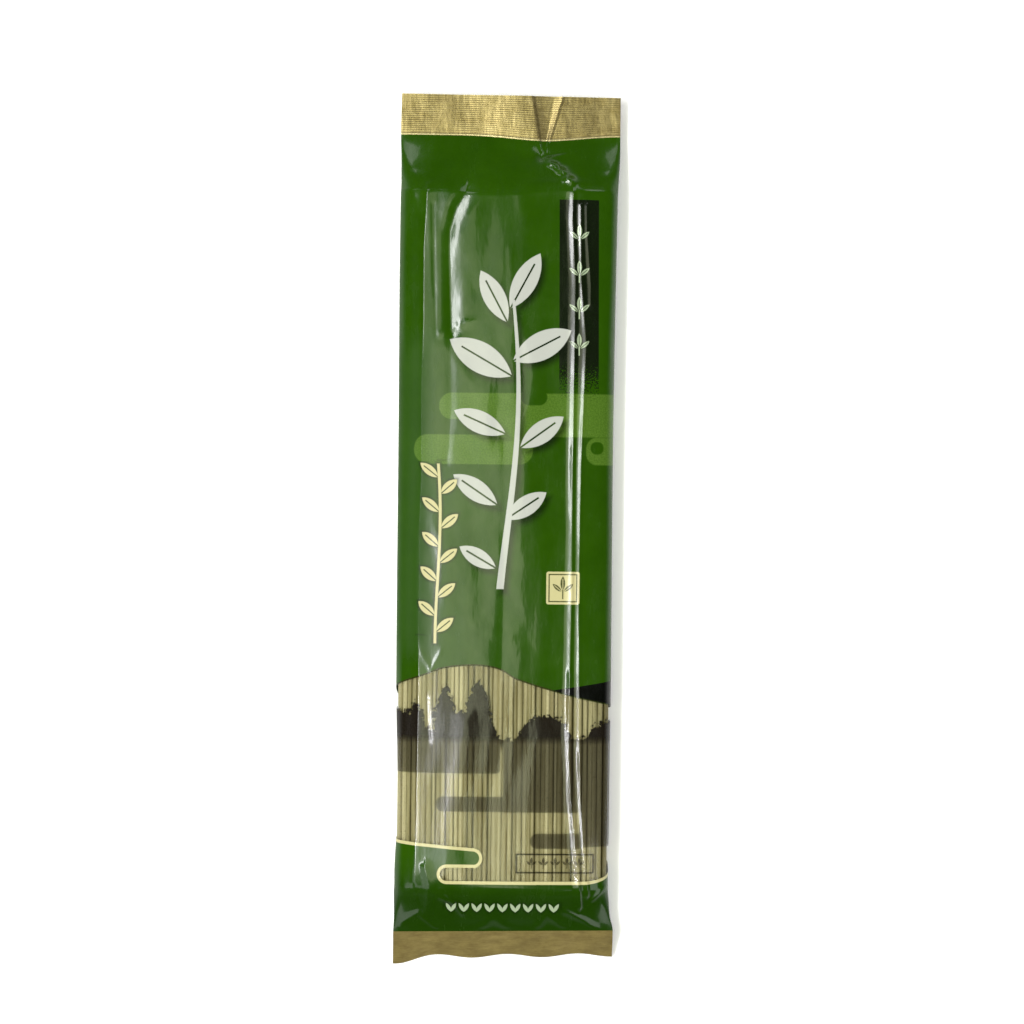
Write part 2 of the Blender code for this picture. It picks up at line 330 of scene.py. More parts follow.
    def hem(self, x: np.ndarray, v: float) -> np.ndarray:
        """Up and down waves of the wavy seal, and the lift of the flat one.

        Args:
            x: Places across the pack.
            v: The row.

        Returns:
            Added height.
        """
        wave = np.cos(2.0 * np.pi * (x - self.hem_phase) / self.hem_pitch)
        corner = bell(x, self.corner_place, self.corner_reach)
        lift = self.seal_lift * max(0.0, (v - self.top_line) / (self.top_edge - self.top_line))
        return self.past_bottom(v) * (self.hem_lift * wave - self.corner_dip * corner) + lift

    def sealed(self, v: float) -> float:
        """How much row v belongs to the flat pleated seal."""
        return float(ease(0.1205, self.top_line, v))

    def fill(self, x: np.ndarray, y: np.ndarray) -> np.ndarray:
        """Uneven height of the noodles that the film lies on.

        Args:
            x: Places across the pack.
            y: Places along it.

        Returns:
            Added height.
        """
        body = ease(-0.114, -0.108, y) * (1.0 - ease(0.104, 0.112, y))
        waves = 0.00007 * np.sin(x / 0.0048 + 2.1 * np.sin(y / 0.031))
        waves = waves + 0.00009 * np.sin(y / 0.0125 + x / 0.0095 + 0.7)
        return body * waves

    def pleat(self, x: np.ndarray, v: float) -> np.ndarray:
        """Height of the folded layers in the pleated seal.

        Args:
            x: Places across the pack.
            v: The row.

        Returns:
            Added height.
        """
        step, ridge = self.path_x(self.step, v), self.path_x(self.ridge, v)
        t = (x - step) / (ridge - step)
        layer = 1.05 * ease(-0.0175, 0.0085, x) - 0.1 * ease(-0.0300, -0.0200, x) - 0.05 * ease(0.004, 0.010, x)
        layer = self.pleat_step * layer * (1.0 - ease(step - 0.0001, step + 0.0005, x))
        dip = 0.70 * np.clip(1.0 - t / 0.72, 0.0, 1.0)
        rise = 0.55 * np.clip((t - 0.72) / 0.28, 0.0, 1.0)
        flap = self.pleat_ridge * (dip + rise) * ease(step, step + 0.0004, x)
        fall = ease(ridge - 0.0001, ridge + 0.0009, x)
        rest = 0.35 * (1.0 - ease(0.0, 0.016, x - ridge))
        crest = 0.00008 * np.clip(1.0 - (ridge - x) / 0.0011, 0.0, 1.0) * (1.0 - fall)
        return layer + flap * (1.0 - fall) + self.pleat_ridge * rest * fall + crest


def feed(socket: bpy.types.NodeSocket, item: object) -> None:
    """Fills a socket.

    Args:
        socket: The input to fill.
        item: A plain value, another node's output or a Calc.
    """
    value = item.source if isinstance(item, Calc) else item
    if isinstance(value, bpy.types.NodeSocket):
        socket.id_data.links.new(value, socket)
    else:
        socket.default_value = value


def fill(node: bpy.types.Node, **values: object) -> bpy.types.Node:
    """Fills a node's inputs.

    Args:
        node: The node.
        values: Its inputs by name, with underscores for spaces.

    Returns:
        The same node.
    """
    for label, item in values.items():
        feed(node.inputs[label.replace("_", " ")], item)
    return node


@dataclass
class Calc:
    """A number in a shader tree, so that sums of sockets read as sums."""

    tree: bpy.types.NodeTree
    source: object

    def run(self, operation: str, *others: object) -> "Calc":
        """One Math node on this number and the others.

        Args:
            operation: The node's operation.
            others: The numbers after this one.

        Returns:
            The result.
        """
        node = self.tree.nodes.new("ShaderNodeMath")
        node.operation = operation
        for socket, item in zip(node.inputs, (self, *others)):
            feed(socket, item)
        return Calc(self.tree, node.outputs[0])

    def __add__(self, other: object) -> "Calc":
        """Sum."""
        return self.run("ADD", other)

    def __sub__(self, other: object) -> "Calc":
        """Difference."""
        return self.run("SUBTRACT", other)

    def __mul__(self, other: object) -> "Calc":
        """Product."""
        return self.run("MULTIPLY", other)

    def __truediv__(self, other: object) -> "Calc":
        """Quotient."""
        return self.run("DIVIDE", other)

    def low(self, other: object) -> "Calc":
        """The smaller of two."""
        return self.run("MINIMUM", other)

    def high(self, other: object) -> "Calc":
        """The larger of two."""
        return self.run("MAXIMUM", other)

    def size(self) -> "Calc":
        """Value without its sign."""
        return self.run("ABSOLUTE")

    def length(self, other: "Calc") -> "Calc":
        """Length of the line that this and the other number span."""
        return (self * self + other * other).run("SQRT")

    def inside(self, soft: float = 0.12) -> "Calc":
        """One where a distance is negative, with a soft edge in millimetres."""
        return self.ramp(-soft, soft, 1.0, 0.0, "SMOOTHSTEP")

    def ramp(
        self, start: float, end: float, first: float = 0.0, last: float = 1.0, kind: str = "LINEAR"
    ) -> "Calc":
        """Change between two places, held past both.

        Args:
            start: Where the change starts.
            end: Where it ends.
            first: The value at the start.
            last: The value at the end.
            kind: How it goes in between.

        Returns:
            The changed number.
        """
        node = self.tree.nodes.new("ShaderNodeMapRange")
        node.interpolation_type = kind
        fill(node, Value=self, From_Min=start, From_Max=end, To_Min=first, To_Max=last)
        return Calc(self.tree, node.outputs["Result"])

    def profile(self, points: tuple[tuple[float, float], ...], reach: float = 45.0) -> "Calc":
        """Smooth curve through points, in millimetres across and along.

        Args:
            points: Places across and the value at each.
            reach: Half the width that the curve covers.

        Returns:
            The curve's value at this number.
        """
        values = [p[1] for p in points]
        base, span = min(values), max(values) - min(values)
        node = self.tree.nodes.new("ShaderNodeFloatCurve")
        curve = node.mapping.curves[0]
        placed = [((p[0] + reach) / (2.0 * reach), (p[1] - base) / span) for p in points]
        curve.points[0].location = placed[0]
        curve.points[1].location = placed[-1]
        for place in placed[1:-1]:
            curve.points.new(*place)
        node.mapping.update()
        fill(node, Value=self.ramp(-reach, reach))
        return Calc(self.tree, node.outputs["Value"]) * span + base


def new_group(name: str, inputs: tuple[str, ...], outputs: tuple[str, ...]) -> tuple[bpy.types.NodeTree, list, list]:
    """Starts a shader group with number sockets.

    Args:
        name: The group's name.
        inputs: Names of its inputs.
        outputs: Names of its outputs.

    Returns:
        The tree, its inputs as numbers, and the sockets of its results.
    """
    tree = bpy.data.node_groups.new(name, "ShaderNodeTree")
    for labels, way in ((inputs, "INPUT"), (outputs, "OUTPUT")):
        for label in labels:
            tree.interface.new_socket(name=label, in_out=way, socket_type="NodeSocketFloat")
    start = tree.nodes.new("NodeGroupInput")
    end = tree.nodes.new("NodeGroupOutput")
    return tree, [Calc(tree, start.outputs[label]) for label in inputs], [end.inputs[label] for label in outputs]


def place_group(tree: bpy.types.NodeTree, group: bpy.types.NodeTree, **values: object) -> list[Calc]:
    """Puts a group into a tree.

    Args:
        tree: Where the group is used.
        group: The group.
        values: Its inputs, with underscores for spaces.

    Returns:
        Its outputs.
    """
    node = tree.nodes.new("ShaderNodeGroup")
    node.node_tree = group
    return [Calc(tree, socket) for socket in fill(node, **values).outputs]


def leaf_at(group: bpy.types.NodeTree, x: Calc, y: Calc, spec: tuple[float, ...], vein: float) -> Calc:
    """Distance to a leaf.

    Args:
        group: The leaf's group.
        x: Place across.
        y: Place along.
        spec: The leaf's middle across and along, turn, length and width.
        vein: Half width of the open vein, negative for none.

    Returns:
        The distance, negative inside.
    """
    names = ("Middle_X", "Middle_Y", "Turn", "Length", "Width")
    return place_group(x.tree, group, Across=x, Along=y, **dict(zip(names, spec)), Vein=vein)[0]


def noise(tree: bpy.types.NodeTree, place: object, scale: float, detail: float, rough: float = 0.5) -> Calc:
    """Noise texture.

    Args:
        tree: Where it is used.
        place: The socket of its coordinates.
        scale: Its scale.
        detail: How many finer layers it has.
        rough: How strong they are.

    Returns:
        The noise, from zero to one.
    """
    node = tree.nodes.new("ShaderNodeTexNoise")
    return Calc(tree, fill(node, Vector=place, Scale=scale, Detail=detail, Roughness=rough).outputs["Fac"])


def spot(x: Calc, y: Calc) -> bpy.types.NodeSocket:
    """Socket of the place that two numbers give."""
    return fill(x.tree.nodes.new("ShaderNodeCombineXYZ"), X=x, Y=y).outputs[0]


def bump(tree: bpy.types.NodeTree, strength: float, distance: float, height: object) -> bpy.types.NodeSocket:
    """Socket of a normal with small relief."""
    node = tree.nodes.new("ShaderNodeBump")
    return fill(node, Strength=strength, Distance=distance, Height=height).outputs["Normal"]


def film_place(tree: bpy.types.NodeTree) -> tuple[Calc, Calc]:
    """Place on the flat film.

    Args:
        tree: A material's tree.

    Returns:
        Place across and along in millimetres.
    """
    place = tree.nodes.new("ShaderNodeUVMap")
    place.uv_map = "film"
    split = fill(tree.nodes.new("ShaderNodeSeparateXYZ"), Vector=place.outputs["UV"])
    return Calc(tree, split.outputs[0]) * 100.0, Calc(tree, split.outputs[1]) * 100.0


def new_material(name: str) -> tuple[bpy.types.Material, bpy.types.NodeTree, bpy.types.Node]:
    """Starts a material.

    Args:
        name: Its name.

    Returns:
        The material, its tree and its shader.
    """
    material = bpy.data.materials.new(name)
    material.use_nodes = True
    return material, material.node_tree, material.node_tree.nodes["Principled BSDF"]


def mixed(kind: str, amount: object, below: object, above: object, tree: bpy.types.NodeTree) -> bpy.types.Node:
    """Mix node with its first three inputs of the kind filled.

    Args:
        kind: The node's type.
        amount: How much of the upper one shows.
        below: Colour or shader underneath.
        above: Colour or shader on top.
        tree: Where it is used.

    Returns:
        The node.
    """
    node = tree.nodes.new(kind)
    places = (0, 1, 2)
    if kind == "ShaderNodeMix":
        node.data_type = "RGBA"
        places = (0, 6, 7)
    for i, item in zip(places, (amount, below, above)):
        feed(node.inputs[i], item)
    return node


def blend(tree: bpy.types.NodeTree, below: object, above: object, amount: object) -> bpy.types.NodeSocket:
    """Colour with another laid over it, by an amount."""
    return mixed("ShaderNodeMix", amount, below, above, tree).outputs[2]


@dataclass(frozen=True)
class PrintShapes:
    """Plain shapes of the printed fields, as distances in millimetres."""

    leaf: bpy.types.NodeTree
    panel: bpy.types.NodeTree
    fan: bpy.types.NodeTree
    branch: bpy.types.NodeTree
    speckle: bpy.types.NodeTree
    cockle: bpy.types.NodeTree

    @classmethod
    def make(cls) -> "PrintShapes":
        """Builds all shape groups once."""
        leaf = cls.make_leaf()
        fan, branch = cls.make_fan(leaf), cls.make_branch(leaf)
        return cls(leaf, cls.make_panel(), fan, branch, cls.make_speckle(), cls.make_cockle())

    @staticmethod
    def make_leaf() -> bpy.types.NodeTree:
        """A pointed leaf: the overlap of two discs, with a vein left open along it.

        Returns:
            The group.
        """
        names = ("Across", "Along", "Middle X", "Middle Y", "Turn", "Length", "Width", "Vein")
        tree, (x, y, mx, my, turn, length, width, vein), (result,) = new_group("print_leaf", names, ("Distance",))
        dx, dy, angle = x - mx, y - my, turn.run("RADIANS")
        cos, sin = angle.run("COSINE"), angle.run("SINE")
        p = dx * cos + dy * sin
        q = dy * cos - dx * sin
        half, wide = length * 0.5, width * 0.5
        radius = (half * half + wide * wide) / (wide * 2.0)
        offset = radius - wide
        body = p.length(q + offset).high(p.length(q - offset)) - radius
        tip = p - half * 0.62
        feed(result, body.high((vein - q.size()).low(tip * -1.0)))
        return tree

    @staticmethod
    def make_panel() -> bpy.types.NodeTree:
        """A rectangle with rounded corners.

        Returns:
            The group.
        """
        names = ("Across", "Along", "Middle X", "Middle Y", "Half X", "Half Y", "Corner")
        tree, (x, y, mx, my, hx, hy, corner), (result,) = new_group("print_panel", names, ("Distance",))
        dx = (x - mx).size() - hx + corner
        dy = (y - my).size() - hy + corner
        outer = dx.high(0.0).length(dy.high(0.0))
        feed(result, outer + dx.high(dy).low(0.0) - corner)
        return tree

    @staticmethod
    def make_fan(leaf: bpy.types.NodeTree) -> bpy.types.NodeTree:
        """Three small leaves on a short stalk.

        Args:
            leaf: The leaf's group.

        Returns:
            The group.
        """
        tree, (x, y, size), (result,) = new_group("print_fan", ("Across", "Along", "Size"), ("Distance",))
        x, y = x / size, y / size
        shape = (x.size() - 0.055).high((y + 0.55).size() - 0.42)
        for spec in ((0, 0.42, 90, 1.25, 0.42), (-0.5, 0.02, 140, 1.05, 0.36), (0.5, 0.02, 40, 1.05, 0.36)):
            shape = shape.low(leaf_at(leaf, x, y, spec, 0.03))
        feed(result, shape * size)
        return tree

    @staticmethod
    def make_branch(leaf: bpy.types.NodeTree) -> bpy.types.NodeTree:
        """A tall tea branch with leaves on both sides.

        Args:
            leaf: The leaf's group.

        Returns:
            The group.
        """
        tree, (x, y), (result,) = new_group("print_branch", ("Across", "Along"), ("Distance",))
        stem_x = (y / 27.0).run("SINE") * 3.2
        taper = y.ramp(-16.0, 74.0, 1.15, 0.45)
        shape = ((x - stem_x).size() - taper).high((y - 27.5).size() - 46.0)
        for spec in (
            (5, 79.5, 62, 20, 7.4), (-4.9, 74.5, 118, 18.5, 7), (10.6, 59, 28, 21, 8.8), (-8.9, 55, 150, 23, 9.6),
            (-9, 34.5, 156, 18, 7), (10.8, 31.5, 36, 17, 6.8), (-10.2, 13, 146, 17, 6.6), (6, 8, 34, 15.5, 6.2),
            (-9.2, -8.5, 150, 13.5, 5.4),
        ):
            shape = shape.low(leaf_at(leaf, x, y, spec, 0.28))
        feed(result, shape)
        return tree

    @staticmethod
    def make_speckle() -> bpy.types.NodeTree:
        """Fine ink grain of any pitch, from zero to one.

        Returns:
            The group.
        """
        tree, (x, y, pitch), (result,) = new_group("ink_speckle", ("Across", "Along", "Pitch"), ("Grain",))
        feed(result, noise(tree, spot(x / pitch, y / pitch), 1.0, 3.0, 0.7).ramp(0.36, 0.64))
        return tree

    @staticmethod
    def make_cockle() -> bpy.types.NodeTree:
        """Small dents and stretch marks of thin film, as a height in millimetres, and its wear.

        Returns:
            The group.
        """
        tree, (x, y), (height, wear) = new_group("film_cockle", ("Across", "Along"), ("Height", "Wear"))
        broad = noise(tree, spot(x * 0.16, y * 0.055), 1.0, 3.0)
        fine = noise(tree, spot(x * 0.9, y * 0.28), 1.0, 2.0)
        feed(height, broad * 0.75 + fine * 0.06)
        feed(wear, fine.ramp(0.35, 0.7))
        return tree


@dataclass(frozen=True)
class Inks:
    """Printing inks and bare colours of the pack."""

    green: tuple = linear(48, 90, 3)
    deep: tuple = linear(38, 78, 1)
    foot: tuple = linear(27, 58, 2)
    mist: tuple = linear(104, 142, 50)
    white: tuple = linear(214, 217, 208)
    shade: tuple = linear(8, 18, 3)
    cream: tuple = linear(228, 220, 162)
    dark: tuple = linear(17, 20, 13)
    pale: tuple = linear(186, 204, 168)
    black: tuple = linear(9, 11, 6)
    earth: tuple = linear(33, 28, 20)
    olive: tuple = linear(52, 62, 14)


@dataclass
class Sheet:
    """A print in the making: its place on the film in millimetres and its colour so far."""

    shapes: PrintShapes
    tree: bpy.types.NodeTree
    x: Calc
    y: Calc
    colour: object = None

    def lay(self, ink: object, amount: object) -> None:
        """Lays an ink over the colour so far."""
        self.colour = blend(self.tree, self.colour, ink, amount)

    def grain(self, pitch: float, x: Calc | None = None, y: Calc | None = None) -> Calc:
        """Ink grain of one pitch, here or at another place."""
        return place_group(self.tree, self.shapes.speckle, Across=x or self.x, Along=y or self.y, Pitch=pitch)[0]

    def shape(self, group: bpy.types.NodeTree, x: Calc, y: Calc, **values: object) -> Calc:
        """Distance to a printed shape at another place."""
        return place_group(self.tree, group, Across=x, Along=y, **values)[0]

    def boxes(self, *specs: tuple[float, ...]) -> Calc:
        """Distance to the nearest of some rounded rectangles.

        Args:
            specs: Middle, half sizes and corner of each.

        Returns:
            The distance, negative inside.
        """
        names = ("Middle_X", "Middle_Y", "Half_X", "Half_Y", "Corner")
        parts = [self.shape(self.shapes.panel, self.x, self.y, **dict(zip(names, spec))) for spec in specs]
        result = parts[0]
        for part in parts[1:]:
            result = result.low(part)
        return result


@dataclass(frozen=True)
class FilmFinish:
    """Glossy clear film with ink on its inner side.

    Roughness is that of the clean face; cockle is how strongly small dents show.
    """

    shapes: PrintShapes
    inks: Inks = field(default_factory=Inks)
    roughness: float = 0.08
    under_roughness: float = 0.18
    cockle: float = 0.12
    hill: tuple[tuple[float, float], ...] = (
        (-45, -54.5), (-38, -50.2), (-27, -46.3), (-14.6, -42.9), (-7.2, -42.8), (4.1, -47.2), (15, -50.6),
        (26.2, -53.4), (35.5, -55.2), (45, -56.6),
    )
    hedge: tuple[tuple[float, float], ...] = (
        (-45, -57), (-33, -57.6), (-27, -58.6), (-23, -63.5), (-17, -60), (-11, -57.4), (-4, -60.5),
        (0.5, -66.5), (6, -62.5), (13, -58.6), (19.5, -62), (23.5, -65.8), (29, -61.6), (37, -60.4),
        (45, -61.5),
    )

    def start(self, name: str) -> tuple[bpy.types.Material, Sheet]:
        """Starts a print on green ink with slow changes in depth.

        Args:
            name: The material's name.

        Returns:
            The material and its print.
        """
        material, tree, _ = new_material(name)
        tree.nodes.clear()
        sheet = Sheet(self.shapes, tree, *film_place(tree))
        sheet.colour = blend(tree, self.inks.deep, self.inks.green, sheet.grain(16.0) * 0.5 + 0.5)
        return material, sheet

    def gloss(self, sheet: Sheet) -> Calc:
        """Gloss of the film: full on the face, less where it is rubbed along its long edges.

        Args:
            sheet: The print.

        Returns:
            About one where it is clean, near zero where it is dull.
        """
        x, y = sheet.x, sheet.y
        rubbed = x.ramp(-28.2, -22.6).high(y.ramp(52.0, 66.0)).high(y.ramp(-32.0, -44.0))
        worn = sheet.grain(9.0, y=y * 0.5)
        return x.size().ramp(32.8, 36.6, 1.0, 0.05) * rubbed * (worn * 0.4 + 0.74)

    def finish(self, sheet: Sheet, ink: Calc | None = None) -> None:
        """Joins a print to the surface.

        Args:
            sheet: The print.
            ink: Where there is ink, or None for everywhere.
        """
        tree = sheet.tree
        height, wear = place_group(tree, self.shapes.cockle, Across=sheet.x, Along=sheet.y)
        normal = bump(tree, self.cockle, MM, height)
        gloss = self.gloss(sheet)
        shader = fill(
            tree.nodes.new("ShaderNodeBsdfPrincipled"),
            Base_Color=sheet.colour,
            Roughness=wear * 0.06 + gloss * -0.32 + 0.32 + self.under_roughness,
            Specular_IOR_Level=0.15,
            Coat_Weight=gloss * 0.35,
            Coat_Roughness=self.roughness,
            Normal=normal,
            Coat_Normal=normal,
        ).outputs[0]
        if ink:
            clear = self.clear_film(tree, normal, wear * 0.03 + self.roughness, gloss)
            shader = mixed("ShaderNodeMixShader", ink, clear, shader, tree).outputs[0]
        fill(tree.nodes.new("ShaderNodeOutputMaterial"), Surface=shader)

    def clear_film(self, tree: bpy.types.NodeTree, normal: object, rough: Calc, gloss: Calc) -> bpy.types.NodeSocket:
        """Unprinted film: see-through, with the same gloss as the print.

        Args:
            tree: The material's tree.
            normal: The dented normal.
            rough: Roughness of the gloss.
            gloss: Where the film shines.

        Returns:
            The shader's socket.
        """
        through = fill(tree.nodes.new("ShaderNodeBsdfTransparent"), Color=(0.95, 0.955, 0.93, 1.0))
        glossy = tree.nodes.new("ShaderNodeBsdfGlossy")
        fill(glossy, Color=(1.0, 1.0, 1.0, 1.0), Roughness=rough, Normal=normal)
        fresnel = fill(tree.nodes.new("ShaderNodeFresnel"), IOR=1.5, Normal=normal)
        amount = Calc(tree, fresnel.outputs[0]) * gloss * 0.54
        return mixed("ShaderNodeMixShader", amount, through.outputs[0], glossy.outputs[0], tree).outputs[0]

    def upper(self) -> bpy.types.Material:
        """Printed front above the window.

        Returns:
            The material.
        """
        material, sheet = self.start("film_upper_print")
        x, y = sheet.x, sheet.y
        grain = sheet.grain(0.5)
        self.mist(sheet, grain)
        self.dark_panel(sheet, grain)
        shadow = sheet.shape(self.shapes.branch, x - 1.3, y + 1.5).inside(1.6)
        sheet.lay(self.inks.shade, shadow * 0.8)
        sheet.lay(self.inks.white, sheet.shape(self.shapes.branch, x, y).inside())
        self.vine(sheet)
        self.stamp(sheet, grain)
        self.finish(sheet)
        return material

    def mist(self, sheet: Sheet, grain: Calc) -> None:
        """Bands of mist across the green.

        Args:
            sheet: The print.
            grain: Its ink grain.
        """
        bands = sheet.boxes(
            (6, 39.6, 28, 4.2, 4), (23, 36.9, 22, 6.9, 3), (-11, 25.8, 19, 4.7, 4.5), (-1, 33, 5.5, 10.5, 2),
            (34, 25.6, 9, 4.4, 3.6),
        )
        notch = sheet.boxes((8.2, 42.6, 4.2, 2.6, 2.6), (28.6, 26.6, 2.2, 2, 1.9))
        sheet.lay(self.inks.mist, bands.high(notch * -1.0).inside(0.25) * (grain * 0.42 + 0.42))

    def dark_panel(self, sheet: Sheet, grain: Calc) -> None:
        """Tall dark field with a grainy lower end and a row of small leaves.

        Args:
            sheet: The print.
            grain: Its ink grain.
        """
        y = sheet.y
        lean = sheet.x + y * 0.0085
        panel = replace(sheet, x=lean).boxes((22.9, 73.4, 6.35, 32.2, 0.1)).inside()
        fade = (y.ramp(41.0, 58.0) * 1.35 - grain).ramp(-0.05, 0.12)
        sheet.lay(self.inks.dark, panel * fade * (grain * 0.10 + 0.88))
        cell = (y - 54.2).run("FLOORED_MODULO", 11.6) - 5.2
        fan = sheet.shape(self.shapes.fan, lean - 22.9, cell, Size=3.5)
        sheet.lay(self.inks.pale, fan.high((y - 77.2).size() - 22.6).inside(0.1))

    def vine(self, sheet: Sheet) -> None:
        """Slim cream twig down the left.

        Args:
            sheet: The print.
        """
        y = sheet.y
        off = sheet.x - ((y * 0.062 + 1.0).run("SINE") * 1.3 - 22.4 - y * 0.03)
        run = (y + 5.5).size() - 27.35
        shape = (off.size() - 0.45).high((y + 7.4).size() - 28.6)
        cell = y.run("FLOORED_MODULO", 11.0) - 5.5
        for spec in ((-3, 2.6, 140, 7, 3), (3, -2.6, 40, 7, 3)):
            shape = shape.low(leaf_at(self.shapes.leaf, off, cell, spec, 0.18).high(run))
        sheet.lay(self.inks.shade, (shape - 0.5).inside(0.7) * 0.7)
        sheet.lay(self.inks.cream, shape.inside())

    def stamp(self, sheet: Sheet, grain: Calc) -> None:
        """Cream stamp square with a small leaf in it.

        Args:
            sheet: The print.
            grain: Its ink grain.
        """
        square = sheet.boxes((18, -18, 5.3, 5.2, 0.7))
        sheet.lay(self.inks.cream, square.inside())
        fan = sheet.shape(self.shapes.fan, sheet.x - 18.0, sheet.y + 18.0, Size=3.6)
        line = ((square + 0.9).size() - 0.2).low(fan)
        sheet.lay(self.inks.olive, line.inside(0.1) * (grain * 0.2 + 0.8))

    def lower(self) -> bpy.types.Material:
        """Clear window over the noodles, with the printed landscape and the green foot.

        Returns:
            The material.
        """
        material, sheet = self.start("film_window_print")
        inks, x, y = self.inks, sheet.x, sheet.y
        grain = sheet.grain(0.75)
        above = x.profile(self.hill) - y
        sky = above.inside()
        hedge = self.trees(sheet)
        land = hedge.inside(0.15) * y.ramp(-71.0, -65.0)
        water = sheet.boxes(
            (-22, -69.2, 20.6, 8, 1.2), (22, -75.5, 22.4, 14, 1), (-9.8, -87, 12, 2.4, 2.3), (35, -92, 11, 8.4, 1.2),
            (17, -98.6, 8.6, 2.4, 2.3),
        )
        veil = water.high(hedge).inside(0.2) * 0.52
        sliver = (y - (x - 15.0) * 0.155 + 50.6).high(above).high((x - 15.0) * -1.0).inside()
        cell = (x - 7.0).run("FLOORED_MODULO", 3.8) - 1.9
        sprig = sheet.shape(self.shapes.fan, cell, y + 105.6, Size=1.75).high((x - 16.5).size() - 9.5)
        outline = (sheet.boxes((16.4, -105.7, 12.3, 2.9, 0.1)).size() - 0.24).low(sprig).inside(0.08)
        cloud = self.cloud(sheet)
        foot = cloud.inside()
        line = (cloud.size() - 0.53).inside(0.1)
        # The green turns darker towards the bottom end of the pack, from 106 to 118 mm below the middle.
        ground = blend(sheet.tree, sheet.colour, inks.foot, y.ramp(-106.0, -118.0, 0.0, 0.8))
        sheet.colour = blend(sheet.tree, inks.earth, ground, sky.high(foot))
        sheet.lay(inks.black, sliver)
        sheet.lay(inks.olive, (above.size() - 0.28).inside() * (sliver * -1.0 + 1.0))
        self.foot_row(sheet)
        sheet.lay(inks.cream, line)
        edge = (above.size() - 0.3).inside() * 0.9
        ink = land.high(veil).high(sky).high(foot).high(sliver).high(line).high(outline * 0.85).high(edge)
        self.finish(sheet, (ink * (grain * 0.04 + 0.955)).high(sky.high(foot)))
        return material

    def trees(self, sheet: Sheet) -> Calc:
        """Ragged trees and hedges on the far bank.

        Args:
            sheet: The print.

        Returns:
            Distance to them, negative inside.
        """
        x, y = sheet.x, sheet.y
        ragged = (sheet.grain(1.7) - 0.5) * 2.6
        hedge = y - x.profile(self.hedge) - ragged
        for spec in ((-19, -61, 90, 23, 7.4), (-8.6, -60, 90, 25.5, 8.2), (-28.5, -62, 90, 15, 6)):
            hedge = hedge.low(leaf_at(self.shapes.leaf, x, y, spec, -1.0) - ragged * 0.75)
        return hedge

    def cloud(self, sheet: Sheet) -> Calc:
        """Green cloud at the foot.

        Args:
            sheet: The print.

        Returns:
            Distance to it, negative inside.
        """
        x, y = sheet.x, sheet.y
        left = (x * -1.0 - 10.0).high(0.0)
        lobe = (x + 9.9).high(0.0).length(y + 104.2 - left * 0.042) - left * 0.042 - 2.75
        rise = (x - 25.0).high(0.0)
        base = y + 111.9 - rise * rise * 0.022
        slot = (x * -1.0 - 18.0).high(0.0).length(y + 109.35) - 2.6
        slot = slot.high(x - 10.0)
        return lobe.low(base).low(sheet.boxes((-39.5, -110.3, 21.6, 5.7, 0.2))).high(slot * -1.0)

    def foot_row(self, sheet: Sheet) -> None:
        """Row of small leaves along the green foot.

        Args:
            sheet: The print.
        """
        cell = (sheet.x + 18.6).run("FLOORED_MODULO", 4.1) - 2.05
        left, right = (
            leaf_at(self.shapes.leaf, cell, sheet.y + 120.3, (middle, 0, turn, 3.4, 1.15), -1.0)
            for middle, turn in ((-0.75, 120), (0.75, 60))
        )
        shape = left.low(right).high((sheet.x + 0.1).size() - 18.45)
        sheet.lay(self.inks.shade, (shape - 0.3).inside(0.8) * 0.6)
        sheet.lay(self.inks.pale, shape.inside(0.1))

    def back(self) -> bpy.types.Material:
        """Plain printed back: green with two bare cream panels beside the fin.

        Returns:
            The material.
        """
        material, sheet = self.start("film_back_print")
        panel = replace(sheet, x=sheet.x.size()).boxes((60.5, 2, 12.5, 96, 1.5))
        sheet.lay(self.inks.cream, panel.inside() * 0.92)
        sheet.lay(self.inks.olive, ((panel + 1.6).size() - 0.18).inside())
        self.finish(sheet)
        return material


@dataclass(frozen=True)
class SealFinish:
    """Satin gold film of the end seals, with fine pressed ribs.

    Line is where the seal starts and turn is its direction, so that depth counts from its inner edge.
    """

    shapes: PrintShapes
    name: str
    line: float
    turn: float
    colour: tuple = linear(182, 166, 113)
    dark: tuple = linear(130, 112, 60)
    # rim: pale line along the seal's inner edge, a painted highlight where the film bends over the crimp
    rim: tuple = linear(236, 222, 168)
    rim_highlight_amount: float = 0.7
    roughness: float = 0.32
    metallic: float = 0.72
    rib_pitch: float = 0.65

    def make(self) -> bpy.types.Material:
        """Builds the material.

        Returns:
            The material.
        """
        material, tree, shader = new_material(self.name)
        x, y = film_place(tree)
        sheet = Sheet(self.shapes, tree, x, y)
        depth = (y - self.line / MM) * self.turn
        fine = sheet.grain(0.45, x * 0.12)
        broad = sheet.grain(5.5, y=y * 1.6)
        rib = (depth * (2.0 * math.pi / self.rib_pitch)).run("SINE") * depth.ramp(0.5, 1.2)
        # rib * 0.05 makes the gold lighter and darker in step with the pressed ribs: painted light and shade on the
        # ribs. The fine and broad grains are random mottling.
        tone = fine * 0.24 + broad * 0.34 + rib * 0.05 + 0.22
        sheet.colour = blend(tree, self.dark, self.colour, tone)
        # Pale line along the seal's inner edge: painted highlight where the film bends.
        sheet.lay(self.rim, ((depth - 0.28).size() - 0.20).inside(0.1) * self.rim_highlight_amount)
        height = place_group(tree, self.shapes.cockle, Across=x, Along=y)[0] * 0.8 + fine * 0.011 + rib * 0.003
        rough = fine * 0.10 + self.roughness
        normal = bump(tree, 0.6, MM, height)
        fill(shader, Base_Color=sheet.colour, Metallic=self.metallic, Roughness=rough, Normal=normal)
        return material


